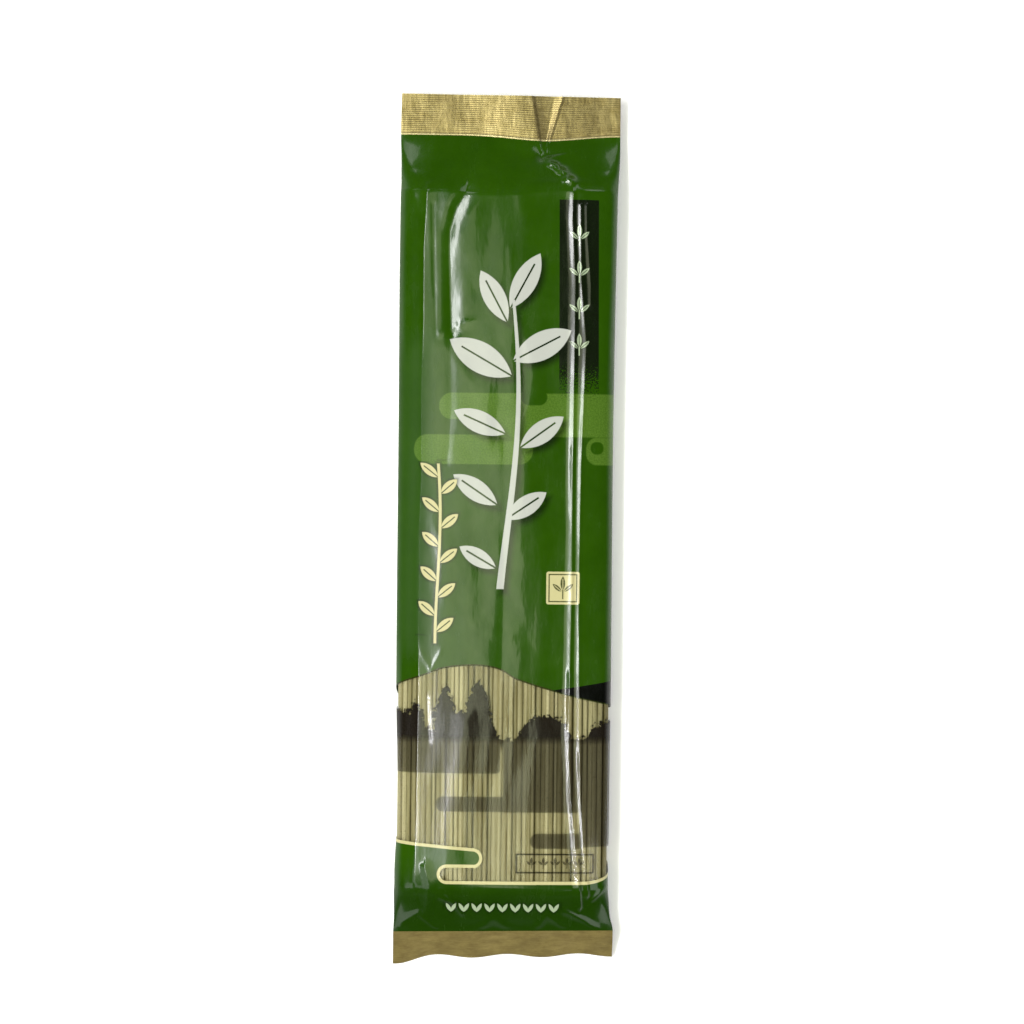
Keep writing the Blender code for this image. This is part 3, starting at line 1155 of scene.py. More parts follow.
@dataclass(frozen=True)
class NoodleFinish:
    """Dry green-tea dough: matt, slightly mottled, with a tone of its own on each strand."""

    dark: tuple = linear(128, 117, 58)
    light: tuple = linear(226, 217, 168)
    fleck: tuple = linear(80, 84, 36)
    roughness: float = 0.62

    def make(self) -> bpy.types.Material:
        """Builds the material.

        Returns:
            The material.
        """
        material, tree, shader = new_material("noodle_dough")
        place = tree.nodes.new("ShaderNodeTexCoord").outputs["Object"]
        tone = tree.nodes.new("ShaderNodeAttribute")
        tone.attribute_name = "tone"
        scaled = fill(tree.nodes.new("ShaderNodeMapping"), Scale=(1.0, 0.10, 1.0), Vector=place)
        streak = noise(tree, scaled.outputs[0], 900.0, 3.0)
        level = Calc(tree, tone.outputs["Fac"]) * 0.75 + streak.ramp(0.3, 0.7) * 0.25
        colour = blend(tree, self.dark, self.light, level)
        colour = blend(tree, colour, self.fleck, noise(tree, place, 2600.0, 1.0).ramp(0.62, 0.70) * 0.55)
        fill(shader, Base_Color=colour, Roughness=self.roughness, Normal=bump(tree, 0.35, 0.0002, streak))
        return material


def deselect() -> None:
    """Leaves edit mode and deselects everything."""
    if bpy.context.mode != "OBJECT":
        bpy.ops.object.mode_set(mode="OBJECT")
    bpy.ops.object.select_all(action="DESELECT")


def pick(piece: bpy.types.Object) -> None:
    """Makes a piece the only selected one."""
    deselect()
    bpy.context.view_layer.objects.active = piece
    piece.select_set(True)


def read_rows(items: bpy.types.bpy_prop_collection, name: str, width: int) -> np.ndarray:
    """Reads numbers of a mesh.

    Args:
        items: The mesh's vertices or UV places.
        name: What to read of each.
        width: How many numbers each has.

    Returns:
        One row of numbers for each item.
    """
    flat = np.empty(len(items) * width)
    items.foreach_get(name, flat)
    return flat.reshape(-1, width)


def wrapped_sheet(name: str, points: np.ndarray, film: np.ndarray) -> bpy.types.Object:
    """Grid sheet bent to a surface.

    Args:
        name: The piece's name.
        points: Rows by columns of places in metres.
        film: Rows by columns of places across and along the flat film, in metres.

    Returns:
        The mesh object, with a UV map named film in units of 0.1 m.
    """
    rows, columns = points.shape[:2]
    deselect()
    bpy.ops.mesh.primitive_grid_add(x_subdivisions=columns - 1, y_subdivisions=rows - 1, size=2.0, location=(0, 0, 0))
    sheet = bpy.context.active_object
    sheet.name = name
    mesh = sheet.data
    mesh.name = name
    flat = read_rows(mesh.vertices, "co", 3)
    column = np.rint((flat[:, 0] + 1.0) * 0.5 * (columns - 1)).astype(int)
    row = np.rint((flat[:, 1] + 1.0) * 0.5 * (rows - 1)).astype(int)
    corner = np.empty(len(mesh.loops), dtype=np.int32)
    mesh.loops.foreach_get("vertex_index", corner)
    layer = mesh.uv_layers[0]
    layer.name = "film"
    uv = film[row[corner], column[corner]] * 10.0
    layer.data.foreach_set("uv", uv.ravel())
    mesh.vertices.foreach_set("co", points[row, column].ravel())
    mesh.update()
    return sheet


def close_and_smooth(piece: bpy.types.Object, angle: float = 50.0, gap: float = 2e-6) -> None:
    """Merges coinciding edges, turns faces outwards and smooths the shading.

    Args:
        piece: The piece.
        angle: Edges sharper than this, in degrees, stay sharp.
        gap: How far apart merged points may be, or zero to merge none.
    """
    pick(piece)
    bpy.ops.object.mode_set(mode="EDIT")
    bpy.ops.mesh.select_all(action="SELECT")
    if gap:
        bpy.ops.mesh.remove_doubles(threshold=gap)
    bpy.ops.mesh.normals_make_consistent(inside=False)
    bpy.ops.object.mode_set(mode="OBJECT")
    bpy.ops.object.shade_smooth_by_angle(angle=math.radians(angle))
    deselect()


@dataclass
class FilmSurface:
    """The film's shape: the plain form with every fold laid on it."""

    form: PackForm = field(default_factory=PackForm)
    base_step: float = 0.00085
    anchors: tuple[float, ...] = (-0.0240, -0.0180, 0.0, 0.0105, 0.0193, 0.0223)
    fine_zones: tuple[tuple[float, float, float], ...] = (
        (-0.0296, -0.0252, 0.00026), (-0.0252, -0.013, 0.0004), (0.006, 0.0176, 0.00045),
        (0.0176, 0.0262, 0.00022),
    )
    flat_arc: float = 0.0400
    hollow_depth: float = 0.00050
    flat_edge: tuple[tuple[float, float], ...] = (
        (-12, -120), (-12, -100), (-4, -62), (4.5, -45), (4.5, 0), (3, 40), (-2, 80), (0, 112),
    )

    crest: tuple[tuple[float, float], ...] = (
        (24.8, -120), (23.9, -110), (23, -100), (21.4, -85), (20.6, -70), (20.6, -45), (20.9, -20), (20.8, 20),
        (21, 60), (21.1, 80), (20, 100), (20.2, 107.6),
    )
    second_crest: tuple[tuple[float, float], ...] = (
        (27, -116), (25.6, -100), (24.4, -85), (23.9, -70), (23.1, -20), (23.4, 20), (24.6, 60), (22.9, 80),
        (22.5, 104),
    )

    def creases(self) -> tuple[Crease, ...]:
        """Lists every fold of the front film.

        Returns:
            The folds.
        """
        left = tuple((x / MM, y / MM) for x, y in self.form.left[3:6])
        shelf = (
            (-26.6, 107.5), (-27.4, 90), (-27.2, 66), (-27.6, 45), (-27.3, 20), (-28.2, -10),
            (-27.6, -50), (-28.2, -112),
        )
        shoulder = ((-13.9, 108.6), (-14.5, 107.2), (-17.4, 102.4), (-19.4, 95), (-19.4, 86), (-18.6, 64.2))
        sharp = Crest.SHARP
        rows = (
            (self.crest, 1.9, 0.41, 0.8), (self.crest[:6], 1.6, 0.16, 0.8), (self.second_crest, 1.3, 0.33, 0.9),
            (self.second_crest[:4], 1.2, 0.09, 0.9),
            (((24.3, 104), (24.5, 96), (25.8, 80), (26, 72)), 1.1, 0.34, 0.9),
            (((12.6, 117.6), (14, 117)), 1.7, 1.1), (((15.4, 115.4), (17, 114.8)), 1.8, 1.15),
            (((17.8, 112.5), (19.3, 111.8)), 2.1, 1.43), (shoulder, 2.6, -0.56, 4.4),
            (shoulder[:4], 1.5, -0.1, 3.4), (((-24, 2), (-14, -14), (-8, -40)), 5, 0.09),
            (((-16, 30), (-4, 12), (2, -12)), 4.5, -0.08), (((-20, 58), (-10, 44), (-6, 26)), 4, 0.08),
            (((2, 38), (6, 22), (4, 4)), 3.5, 0.07), (((-12, -8), (2, -20), (8, -38)), 4, -0.07),
            (((-22, -18), (-12, -30), (0, -34)), 3.5, 0.07), (((2, -14), (6, -28), (5, -44)), 3.5, 0.06),
            (((-14, 84), (-8, 70), (-10, 56)), 4, -0.06), (((4, 66), (8, 50), (6, 36)), 3.5, 0.09),
            (((-18.9, 62), (-18.4, 40), (-19.5, 22)), 1.8, -0.13, 2.2), (shelf, 2.2, 0.34, 4.8),
            (shelf, 1, 0.13, 2.4), (left, 0.4, 0.05, 0, sharp),
            (((-25.2, -53), (-24.2, -67)), 0.9, -0.12, 0, Crest.ROUND),
            (((-24.6, 104), (-23.4, 62)), 0.5, -0.08, 0, sharp),
            (((-22.2, 62.5), (-12, 66.8)), 0.45, 0.22, 0, sharp), (((0.3, 90), (0.5, 71)), 0.35, 0.14, 0, sharp),
            (((-0.9, 30), (-0.6, -8), (-1.2, -46)), 1.3, -0.1, 0, Crest.ROUND),
            (((-34, 113.5), (-30.8, 106.5)), 0.8, 0.4, 0, sharp),
            (((34, 116), (31.5, 108.5)), 0.9, 0.4, 0, sharp), (((11.3, 123.3), (19, 125)), 0.6, 0.4, 0, sharp),
            (((11, 119), (19, 121.5), (24.5, 126.5)), 0.8, 0.5, 0, sharp),
            (((-25, -107), (-23.6, -113), (-24.4, -122)), 1.5, 0.42, 2.4),
            (((-27, -38.6), (-23.6, -44.5), (-20.5, -38.5)), 0.5, 0.15, 0, sharp),
            (((-12.5, -60), (-13.5, -70), (-13.8, -82), (-16.6, -96), (-18.6, -110)), 6.2, 0.36, 6),
            (((10, -129), (14, -122.5), (20, -127)), 1.6, 0.35),
            (((20, -121.5), (26, -124.5), (31, -128)), 1.5, 0.45), (((-18, -115.5), (-13, -122.5)), 1, 0.3),
            (((-20, -117), (-14.5, -119.6)), 0.6, 0.3, 0, sharp),
            (((-33, -126), (-27, -122.5), (-21, -127.5)), 1.6, 0.4),
            (((-8, -128.5), (-3, -124), (3, -128.5)), 1.8, 0.3), (((28.5, -117.5), (33, -113)), 0.9, 0.4),
            (((8.2, 124), (9.8, 119.5)), 1.8, -0.8), (((12, 120.5), (18.5, 121.5)), 1.2, -0.4),
        )
        return tuple(Crease(*row) for row in rows)

    def hollow(self, x: np.ndarray, y: np.ndarray) -> np.ndarray:
        """Long shallow hollow between the flat middle and the lengthwise ridge.

        Args:
            x: Places across the pack.
            y: Places along it.

        Returns:
            Added height, mostly negative.
        """
        start, end = (
            np.interp(y, [p[1] * MM for p in path], [p[0] * MM for p in path]) for path in (self.flat_edge, self.crest)
        )
        t = np.clip((x - start) / (end - start), 0.0, 1.0)
        shape = smooth_curve([0.0, 0.12, 0.80, 0.87, 1.0], [0.0, -0.08, -1.0, -0.98, -0.62], t)
        after = 0.62 * (1.0 - ease(0.0, 0.004, x - end)) * (x > end)
        return self.hollow_depth * (shape * (x <= end) - after)

    def relief(self, x: np.ndarray, y: np.ndarray, v: float) -> np.ndarray:
        """Height over the plain front film along row v.

        Args:
            x: Places across the row.
            y: Places along the pack of the same points.
            v: The row.

        Returns:
            Height in metres.
        """
        form = self.form
        full = ease(-0.115, -0.110, y) * (1.0 - ease(0.106, 0.111, y))
        folds = sum(crease.relief(x, y) for crease in self.creases())
        flutes = 0.000025 * np.sin(x / 0.00125 + 1.7 * np.sin(y / 0.021) + 0.9 * np.sin(y / 0.0083))
        flutes = flutes + 0.00004 * np.sin(x / 0.0031 - y / 0.019 + 1.1 * np.sin(y / 0.047 + 2.0))
        edge = 1.0 - ease(0.029, 0.0345, np.abs(x))
        near_end = ease(0.1283, 0.1265, -v) if v < 0 else 1.0
        sealed = form.sealed(v)
        soft = (flutes + self.hollow(x, y)) * full + form.fill(x, y)
        plain = (folds * near_end + soft) * (0.15 + 0.85 * edge)
        return (1.0 - sealed) * plain + sealed * form.pleat(x, v)

    def reference_columns(self) -> np.ndarray:
        """Flat places of the front's columns, closer together at the folds.

        Returns:
            The places from the -X edge to the +X edge.
        """
        places = [-self.flat_arc]
        while places[-1] < self.flat_arc:
            step = self.base_step
            for low, high, fine in self.fine_zones:
                if low <= places[-1] < high:
                    step = fine
            places.append(min(self.flat_arc, places[-1] + step))
        return np.array(places)

    def front_row(self, v: float) -> tuple[np.ndarray, np.ndarray]:
        """Points and film places of the front sheet along row v.

        Args:
            v: Place along the pack.

        Returns:
            Columns by three places, and columns by two film places.
        """
        form = self.form
        arc, xs, zs = form.section(v, Side.FRONT)
        paths = (form.left, form.shoulder, ((0.0, -0.14), (0.0, 0.14)), form.step, form.ridge)
        marks = [form.path_x(path, v) for path in paths]
        marks.append(marks[-1] + form.ridge_pair)
        goal = [0.0] + [float(np.interp(m, xs, arc)) for m in marks] + [float(arc[-1])]
        known = [-self.flat_arc, *self.anchors, self.flat_arc]
        place = np.interp(self.reference_columns(), known, goal)
        x = np.interp(place, arc, xs)
        z = np.interp(place, arc, zs)
        y = form.shifted(x, v)
        middle = float(np.interp(0.0, xs, arc))
        rise = self.relief(x, y, v)
        slope = np.gradient(z, place)
        across = np.gradient(x, place)
        length = np.hypot(slope, across)
        points = np.stack((x - rise * slope / length, y, z + rise * across / length + form.hem(x, v)), axis=1)
        return points, np.stack((place - middle, y), axis=1)

    def back_row(self, v: float, columns: int, start: float | None, end: float | None) -> tuple[np.ndarray, np.ndarray]:
        """Points and film places of part of the back sheet along row v.

        Args:
            v: Place along the pack.
            columns: How many points.
            start: Place across where it starts, or None for the +X edge.
            end: Place across where it ends, or None for the -X edge.

        Returns:
            Columns by three places, and columns by two film places.
        """
        form = self.form
        arc, xs, zs = form.section(v, Side.BACK)
        front = form.section(v, Side.FRONT)
        span = float(front[0][-1]) * 0.5
        first = float(arc[-1]) if start is None else float(np.interp(start, xs, arc))
        last = 0.0 if end is None else float(np.interp(end, xs, arc))
        place = np.linspace(first, last, columns)
        x = np.interp(place, arc, xs)
        z = np.interp(place, arc, zs) + form.hem(x, v)
        y = form.shifted(x, v)
        across = span + arc[-1] - place if start is None else -span - place
        return np.stack((x, y, z), axis=1), np.stack((across, y), axis=1)


@dataclass
class FilmWrapper:
    """The film between the end seals, with the printed front and the back."""

    surface: FilmSurface
    finish: FilmFinish
    body_step: float = 0.00095
    end_step: float = 0.00050
    back_columns: int = 22
    body_low: float = -0.1020
    body_high: float = 0.1000
    window_line: float = -0.040
    edge_line: float = 0.0475

    def rows(self) -> np.ndarray:
        """Places along the pack, closer together near both ends.

        Returns:
            The places, rising.
        """
        form = self.surface.form
        parts = (
            np.arange(form.bottom_line, self.body_low, self.end_step),
            np.arange(self.body_low, self.body_high, self.body_step),
            np.arange(self.body_high, form.top_line, self.end_step),
            [form.top_line],
        )
        rows = np.concatenate(parts)
        rows = rows[np.concatenate(([True], np.diff(rows) > 0.25 * self.end_step))]
        rows[-1] = form.top_line
        return rows

    def build(self) -> bpy.types.Object:
        """Makes the film as one closed ring of sheet around the noodles.

        Returns:
            The piece.
        """
        surface = self.surface
        seam = -surface.form.fin_half
        points, film = [], []
        for v in self.rows():
            left, left_film = surface.back_row(v, self.back_columns, seam, None)
            front, front_film = surface.front_row(v)
            right, right_film = surface.back_row(v, self.back_columns, None, seam)
            points.append(np.concatenate((left, front, right)))
            film.append(np.concatenate((left_film, front_film, right_film)))
        piece = wrapped_sheet("film_wrapper", np.array(points), np.array(film))
        self.dress(piece)
        close_and_smooth(piece, angle=70.0)
        return piece

    def dress(self, piece: bpy.types.Object) -> None:
        """Gives each face the material of its printed field.

        Args:
            piece: The film.
        """
        mesh = piece.data
        mesh.materials.clear()
        for material in (self.finish.upper(), self.finish.lower(), self.finish.back()):
            mesh.materials.append(material)
        uv = read_rows(mesh.uv_layers["film"].data, "uv", 2) * 0.1
        starts = np.empty(len(mesh.polygons), dtype=np.int32)
        mesh.polygons.foreach_get("loop_start", starts)
        u, v = np.abs(uv[starts, 0]), uv[starts, 1]
        zone = np.where(v < self.window_line, Zone.LOWER.value, Zone.UPPER.value)
        zone = np.where(u > self.edge_line, Zone.BACK.value, zone)
        mesh.polygons.foreach_set("material_index", zone.astype(np.int32))


@dataclass
class EndSeal:
    """One crimped end seal: two sheets of film pressed flat with fine ribs."""

    surface: FilmSurface
    finish: SealFinish
    name: str
    top: bool
    rib_pitch: float = 0.00065
    rib_height: float = 0.000018
    row_step: float = 0.00013
    bead_height: float = 0.00010
    bead_place: float = 0.00035
    bead_reach: float = 0.00022

    def rows(self) -> np.ndarray:
        """Places along the pack from the seal's inner line to its cut edge.

        Returns:
            The places.
        """
        form = self.surface.form
        line = form.top_line if self.top else form.bottom_line
        edge = form.top_edge if self.top else -0.5 * form.length
        count = max(8, round(abs(edge - line) / self.row_step))
        return np.linspace(line, edge, count + 1)

    def build(self) -> bpy.types.Object:
        """Makes the seal as a closed thin slab.

        Returns:
            The piece.
        """
        points, film = [], []
        rows = self.rows()
        for v in rows:
            front, front_film = self.surface.front_row(v)
            front_film[:, 1] = v
            back = front.copy()
            drop = self.thickness(front[:, 0], v)
            depth = abs(v - rows[0])
            rib = self.rib_height * np.sin(2.0 * np.pi * depth / self.rib_pitch)
            rib *= ease(0.0006, 0.0014, depth) * (1.0 - ease(0.0118, 0.0126, depth) * 0.6)
            rib += self.bead_height * bell(depth, self.bead_place, self.bead_reach) * self.top
            wave = self.swell(front[:, 0], depth)
            front[:, 2] += rib + wave
            back[:, 2] += rib + wave - drop
            points.append(np.concatenate((front, back[::-1])))
            film.append(np.concatenate((front_film, front_film[::-1])))
        last = points[-1]
        half = len(last) // 2
        middle = 0.5 * (last[:half] + last[half:][::-1])
        points.append(np.concatenate((middle, middle[::-1])))
        film.append(film[-1])
        turn = 1 if self.top else -1
        piece = wrapped_sheet(self.name, np.array(points)[::turn], np.array(film)[::turn])
        piece.data.materials.clear()
        piece.data.materials.append(self.finish.make())
        close_and_smooth(piece, angle=60.0)
        return piece

    def thickness(self, x: np.ndarray, v: float) -> np.ndarray:
        """Thickness of the pressed film.

        Args:
            x: Places across the pack.
            v: The row.

        Returns:
            The thickness at each place.
        """
        form = self.surface.form
        front, back = (np.interp(x, *form.section(v, side)[1:]) for side in Side)
        gap = front - back
        lift = form.pleat(x, v) * form.sealed(v) if self.top else 0.0
        return np.clip(gap, 0.0002, None) + lift

    def swell(self, x: np.ndarray, depth: float) -> np.ndarray:
        """Slow unevenness of the pressed film, none at its inner line.

        Args:
            x: Places across the pack.
            depth: Distance from the inner line.

        Returns:
            Added height.
        """
        grow = ease(0.0, 0.004, depth)
        if self.top:
            wave = 0.00005 * np.sin(x / 0.0075 + 0.6) + 0.00003 * np.sin(x / 0.0032 + depth / 0.004)
        else:
            wave = 0.00018 * np.sin(x / 0.0041 + depth / 0.003) + 0.00020 * np.sin(x / 0.0096 + 2.0)
        return grow * wave


@dataclass
class BackFin:
    """The lengthwise seal on the back: a double strip of film folded flat."""

    surface: FilmSurface
    finish: FilmFinish
    half: float = 0.0055
    low: float = -0.1275
    high: float = 0.1260
    row_step: float = 0.0012
    columns: int = 23
    drop: float = 0.00028
    thickness: float = 0.00012

    def build(self) -> bpy.types.Object:
        """Makes the strip under the back of the film.

        Returns:
            The piece.
        """
        form = self.surface.form
        across = np.linspace(-self.half, self.half, self.columns)
        points, film = [], []
        for v in np.arange(self.low, self.high, self.row_step):
            _, xs, zs = form.section(v, Side.BACK)
            x = across + form.value(2, v)
            crimp = 0.00005 * np.sin(x / 0.00016)
            z = np.maximum(np.interp(x, xs, zs) - self.drop + crimp, 0.00002)
            edge = 1.0 - np.abs(across) / self.half
            z = z + 0.00004 * (edge < 0.02)
            y = form.shifted(x, v)
            points.append(np.stack((x, y, z), axis=1))
            film.append(np.stack((across + 0.2, y), axis=1))
        piece = wrapped_sheet("back_fin", np.array(points)[::-1], np.array(film)[::-1])
        piece.data.materials.clear()
        piece.data.materials.append(self.finish.back())
        pick(piece)
        wall = piece.modifiers.new("film_layers", "SOLIDIFY")
        wall.thickness = self.thickness
        wall.offset = -1.0
        bpy.ops.object.modifier_apply(modifier=wall.name)
        close_and_smooth(piece)
        return piece


@dataclass
class NoodleBundle:
    """The straight dried noodles, laid side by side under the film."""

    surface: FilmSurface
    finish: NoodleFinish
    width: float = 0.00150
    height: float = 0.00135
    gap: float = 0.00010
    low: float = -0.1140
    high: float = 0.1075
    rings: int = 6
    seed: int = 7
    first: float = -0.0341
    last: float = 0.0334
    gap_columns: frozenset[int] = frozenset((7, 19, 24, 33))
    gap_drop: float = 0.0011

    def strand(self) -> tuple[np.ndarray, list[tuple[int, ...]]]:
        """Models one strand and gives its unit points and faces.

        Returns:
            Points with y from 0 to 1 and the section within half a unit, and the faces.
        """
        deselect()
        bpy.ops.mesh.primitive_cylinder_add(vertices=8, radius=0.5, depth=1.0, location=(0, 0, 0.5))
        master = bpy.context.active_object
        master.name = "strand_master"
        bpy.ops.object.transform_apply(location=True, rotation=True, scale=True)
        bpy.ops.object.mode_set(mode="EDIT")
        for k in range(1, self.rings):
            bpy.ops.mesh.select_all(action="SELECT")
            bpy.ops.mesh.bisect(plane_co=(0, 0, k / self.rings), plane_no=(0, 0, 1), use_fill=False)
        bpy.ops.mesh.select_all(action="DESELECT")
        bpy.ops.object.mode_set(mode="OBJECT")
        mesh = master.data
        co = read_rows(mesh.vertices, "co", 3)
        angle = np.arctan2(co[:, 1], co[:, 0]) + math.pi / 8
        square = 1.0 / np.maximum(np.abs(np.cos(angle)), np.abs(np.sin(angle)))
        square = np.minimum(square, 1.12)
        unit = np.stack((0.5 * square * np.cos(angle), co[:, 2], 0.5 * square * np.sin(angle)), axis=1)
        faces = [tuple(reversed(p.vertices[:])) for p in mesh.polygons]
        bpy.data.objects.remove(master, do_unlink=True)
        return unit, faces

    def ceiling(self) -> tuple[np.ndarray, np.ndarray, np.ndarray, np.ndarray]:
        """Room for the noodles inside the film.

        Returns:
            Places across, places along, and the highest and lowest z of each.
        """
        form = self.surface.form
        across = np.arange(-0.0350, 0.0350001, 0.00025)
        along = np.linspace(self.low - 0.0012, self.high + 0.0012, 61)
        tops, floors = [], []
        for v in along:
            points, _ = self.surface.front_row(float(v))
            order = np.argsort(points[:, 0])
            tops.append(np.interp(across, points[order, 0], points[order, 2]))
            _, xs, zs = form.section(float(v), Side.BACK)
            floors.append(np.interp(across, xs, zs))
        return across, along, np.array(tops) - self.gap, np.array(floors) + self.gap

    def places(self, draw: np.random.Generator, room: tuple[np.ndarray, ...]) -> list[tuple[float, ...]]:
        """Lays the strands out.

        Args:
            draw: The random numbers.
            room: What ceiling returns.

        Returns:
            Centre across, drop below the film, width and roll of every strand.
        """
        across, along, tops, floors = room
        middle_row = len(along) // 2
        found = []
        x, column = self.first, 0
        while x < self.last:
            wide = self.width * float(draw.uniform(0.82, 1.12))
            middle = x + 0.5 * wide
            near = np.abs(across - middle) <= 0.5 * wide
            top, floor = float(tops[middle_row, near].min()), float(floors[middle_row, near].max())
            level = 0.5 * self.height + float(draw.uniform(0.0, 0.00030))
            level += self.gap_drop if column in self.gap_columns else 0.0
            while top - level - 0.5 * self.height > floor:
                roll = float(draw.normal(0.0, 0.14))
                shift = 0.0 if abs(middle) > 0.031 else float(draw.uniform(-0.00022, 0.00022))
                found.append((middle + shift, level, wide, roll))
                level += self.height * float(draw.uniform(0.98, 1.06))
            x += wide + float(draw.uniform(-0.00002, 0.00022))
            column += 1
        return found

    def build(self) -> bpy.types.Object:
        """Makes all strands as one piece.

        Returns:
            The piece.
        """
        draw = np.random.default_rng(self.seed)
        unit, faces = self.strand()
        t = unit[:, 1]
        levels = np.unique(np.round(t, 6))
        form = self.surface.form
        room = self.ceiling()
        across, along, tops, floors = room
        all_points, all_faces, tones = [], [], []
        for middle, drop, wide, roll in self.places(draw, room):
            low = self.low + float(draw.uniform(-0.0012, 0.0008))
            arc = float(form.shifted(np.array([middle]), form.arc_line)[0]) - form.arc_line
            high = self.high + arc + float(draw.uniform(-0.0010, 0.0008))
            drift = float(draw.normal(0.0, 0.00018))
            bow = float(draw.normal(0.0, 0.00015))
            tall = self.height * float(draw.uniform(0.9, 1.0))
            ys = low + (high - low) * levels
            near = np.abs(across - middle) <= 0.5 * wide + 0.0001
            ridge = tops[:, near].min(axis=1)
            span = 0.5 * (high - low) / self.rings
            under = [float(ridge[np.abs(along - place) <= span].min()) for place in ys]
            bed = np.interp(ys, along, floors[:, near].max(axis=1)) + 0.5 * tall
            at = np.maximum(np.interp(t, levels, under) - drop, np.interp(t, levels, bed))
            sx, sz = unit[:, 0] * wide, unit[:, 2] * tall
            x = middle + sx * math.cos(roll) - sz * math.sin(roll) + drift * (t - 0.5) + bow * np.sin(math.pi * t)
            z = at + sx * math.sin(roll) + sz * math.cos(roll)
            start = sum(len(p) for p in all_points)
            all_points.append(np.stack((x, low + (high - low) * t, z), axis=1))
            all_faces += [tuple(start + i for i in face) for face in faces]
            tones.append(np.full(len(t), float(np.clip(draw.normal(0.45, 0.27), 0.0, 1.0))))
        points = np.concatenate(all_points)
        mesh = bpy.data.meshes.new("noodle_bundle")
        mesh.from_pydata(points.tolist(), [], all_faces)
        tone = mesh.attributes.new("tone", "FLOAT", "POINT")
        tone.data.foreach_set("value", np.concatenate(tones))
        piece = bpy.data.objects.new("noodle_bundle", mesh)
        bpy.context.scene.collection.objects.link(piece)
        mesh.materials.append(self.finish.make())
        close_and_smooth(piece, angle=40.0, gap=0.0)
        return piece


@dataclass(frozen=True)
class SoftLight:
    """One rectangular studio light."""

    name: str
    place: tuple[float, float, float]
    aim: tuple[float, float, float]
    width: float
    depth: float
    radiance: float
    colour: tuple[float, float, float] = (1.0, 1.0, 1.0)

    def build(self) -> bpy.types.Object:
        """Hangs the light and turns it to its aim.

        Returns:
            The light.
        """
        data = bpy.data.lights.new(self.name, "AREA")
        data.shape = "RECTANGLE"
        data.size = self.width
        data.size_y = self.depth
        data.energy = self.radiance * math.pi * self.width * self.depth
        data.color = self.colour
        lamp = bpy.data.objects.new(self.name, data)
        lamp.location = self.place
        back = (Vector(self.place) - Vector(self.aim)).normalized()
        side = Vector((0.0, 1.0, 0.0)).cross(back).normalized()
        lamp.rotation_euler = Matrix((side, back.cross(side), back)).transposed().to_euler()
        bpy.context.scene.collection.objects.link(lamp)
        return lamp


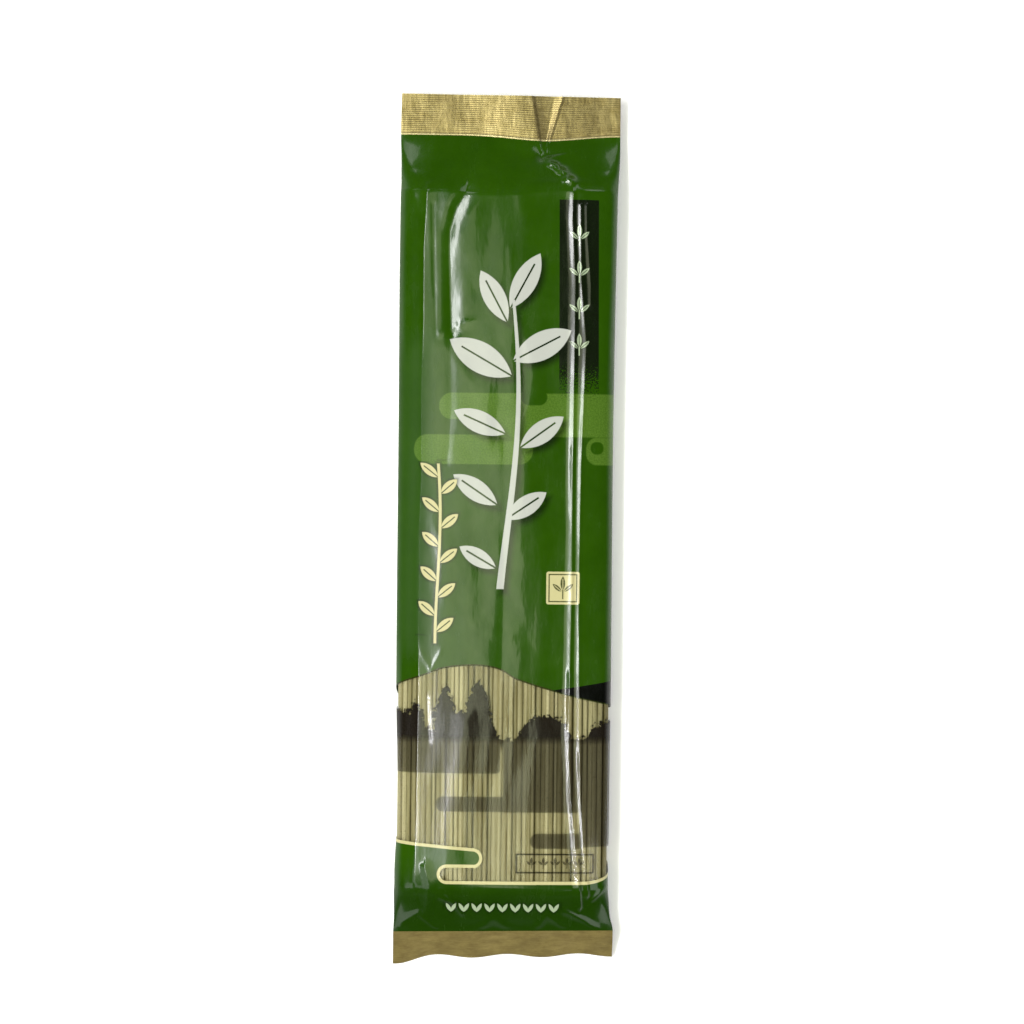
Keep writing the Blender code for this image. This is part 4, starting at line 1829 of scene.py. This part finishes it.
@dataclass
class Studio:
    """Plain pale floor, soft lights and the camera straight above."""

    lights: tuple[SoftLight, ...] = (
        SoftLight("sheen_box", (-0.095, -0.115, 1.3), (-0.095, -0.115, 0), 0.31, 0.53, 4.5, (0.95, 1, 0.66)),
        SoftLight("sheen_top", (-0.15, 0.215, 1.3), (-0.15, 0.215, 0), 0.2, 0.13, 2.4, (0.95, 1, 0.66)),
        SoftLight("sheen_side", (-0.29, -0.1, 1.3), (-0.29, -0.1, 0), 0.08, 0.64, 3.2, (0.95, 1, 0.66)),
        SoftLight("key_edge", (-0.375, -0.1, 1.3), (-0.375, -0.1, 0), 0.09, 0.64, 6.2, (0.97, 1, 0.85)),
        SoftLight("key_soft", (-0.445, 0, 1.3), (-0.445, 0, 0), 0.05, 0.85, 12),
        SoftLight("key_core", (-0.53, 0.05, 1.3), (0, 0, 0), 0.12, 0.9, 36),
        SoftLight("fill_far_left", (-0.52, 1, 1), (0, 0, 0), 0.46, 0.46, 4.2),
        SoftLight("fill_far_right", (0.58, 1, 1), (0, 0, 0), 0.46, 0.46, 3.4),
        SoftLight("fill_near_left", (-0.75, -0.65, 1), (0, 0, 0), 0.8, 0.8, 2.8),
        SoftLight("fill_near_right", (0.75, -0.65, 1), (0, 0, 0), 0.8, 0.8, 2.8),
    )
    centre: tuple[float, float] = (0.00154, 0.00603)
    roll: float = math.radians(0.63)
    height: float = 1.0
    frame_width: float = 0.3284
    plane: float = 0.007
    floor_glow: float = 0.26

    def build(self) -> None:
        """Makes floor, lights, surroundings and camera."""
        self.build_floor()
        for light in self.lights:
            light.build()
        self.build_world()
        self.build_camera()

    def build_floor(self) -> None:
        """Flat pale ground, a light table that glows a little."""
        deselect()
        bpy.ops.mesh.primitive_plane_add(size=6.0, location=(0.0, 0.0, 0.0))
        floor = bpy.context.active_object
        floor.name = "floor"
        material, _, shader = new_material("floor_white")
        fill(shader, Base_Color=(0.93, 0.93, 0.93, 1.0), Roughness=0.9, Specular_IOR_Level=0.0)
        fill(shader, Emission_Color=(1.0, 1.0, 1.0, 1.0), Emission_Strength=self.floor_glow)
        floor.data.materials.append(material)

    def build_world(self) -> None:
        """Surroundings: pale near the ground and dim overhead."""
        world = bpy.data.worlds.new("studio")
        world.use_nodes = True
        tree = world.node_tree
        place = tree.nodes.new("ShaderNodeTexCoord")
        split = fill(tree.nodes.new("ShaderNodeSeparateXYZ"), Vector=place.outputs["Generated"])
        level = Calc(tree, split.outputs[2]).ramp(0.05, 0.35, 0.6, 0.02)
        fill(tree.nodes["Background"], Color=(1.0, 1.0, 1.0, 1.0), Strength=level)
        bpy.context.scene.world = world

    def build_camera(self) -> None:
        """Camera straight above, turned a little as in the photograph."""
        data = bpy.data.cameras.new("camera")
        data.sensor_width = 36.0
        data.lens = 36.0 * (self.height - self.plane) / self.frame_width
        data.clip_start = 0.01
        camera = bpy.data.objects.new("camera", data)
        camera.location = (self.centre[0], self.centre[1], self.height)
        camera.rotation_euler = (0.0, 0.0, self.roll)
        bpy.context.scene.collection.objects.link(camera)
        bpy.context.scene.camera = camera
        view = bpy.context.scene.view_settings
        view.view_transform = "Standard"
        view.look = "None"


def main() -> None:
    """Builds the pack piece by piece and sets it in the studio."""
    logging.basicConfig(level=logging.INFO, format="%(name)s: %(message)s")
    shapes = PrintShapes.make()
    surface = FilmSurface()
    film = FilmFinish(shapes)
    form = surface.form
    bright = SealFinish(shapes, "seal_gold", form.top_line, 1.0)
    # The bottom seal is the same gold film in a darker colour, painted shade for its drooping end, with a rougher, less
    # metallic finish.
    tones = {"colour": linear(166, 148, 82), "dark": linear(104, 86, 34)}
    tones |= {"rim_highlight_amount": 0.0, "roughness": 0.5, "metallic": 0.3}
    matt = SealFinish(shapes, "seal_gold_shaded_matt", form.bottom_line, -1.0, **tones)
    wrapper = FilmWrapper(surface, film).build()
    top = EndSeal(surface, bright, "top_seal", top=True).build()
    bottom = EndSeal(surface, matt, "bottom_seal", top=False).build()
    fin = BackFin(surface, film).build()
    noodles = NoodleBundle(surface, NoodleFinish()).build()
    slots = ("green_film", "gold_seal", "gold_seal", "green_film", "noodles")
    for piece, slot in zip((wrapper, top, bottom, fin, noodles), slots):
        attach(piece, "root")
        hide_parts("noodle_pack")
        LOG.info("%s: %d faces", piece.name, len(piece.data.polygons))
    Studio().build()


if __name__ == "__main__":
    main()
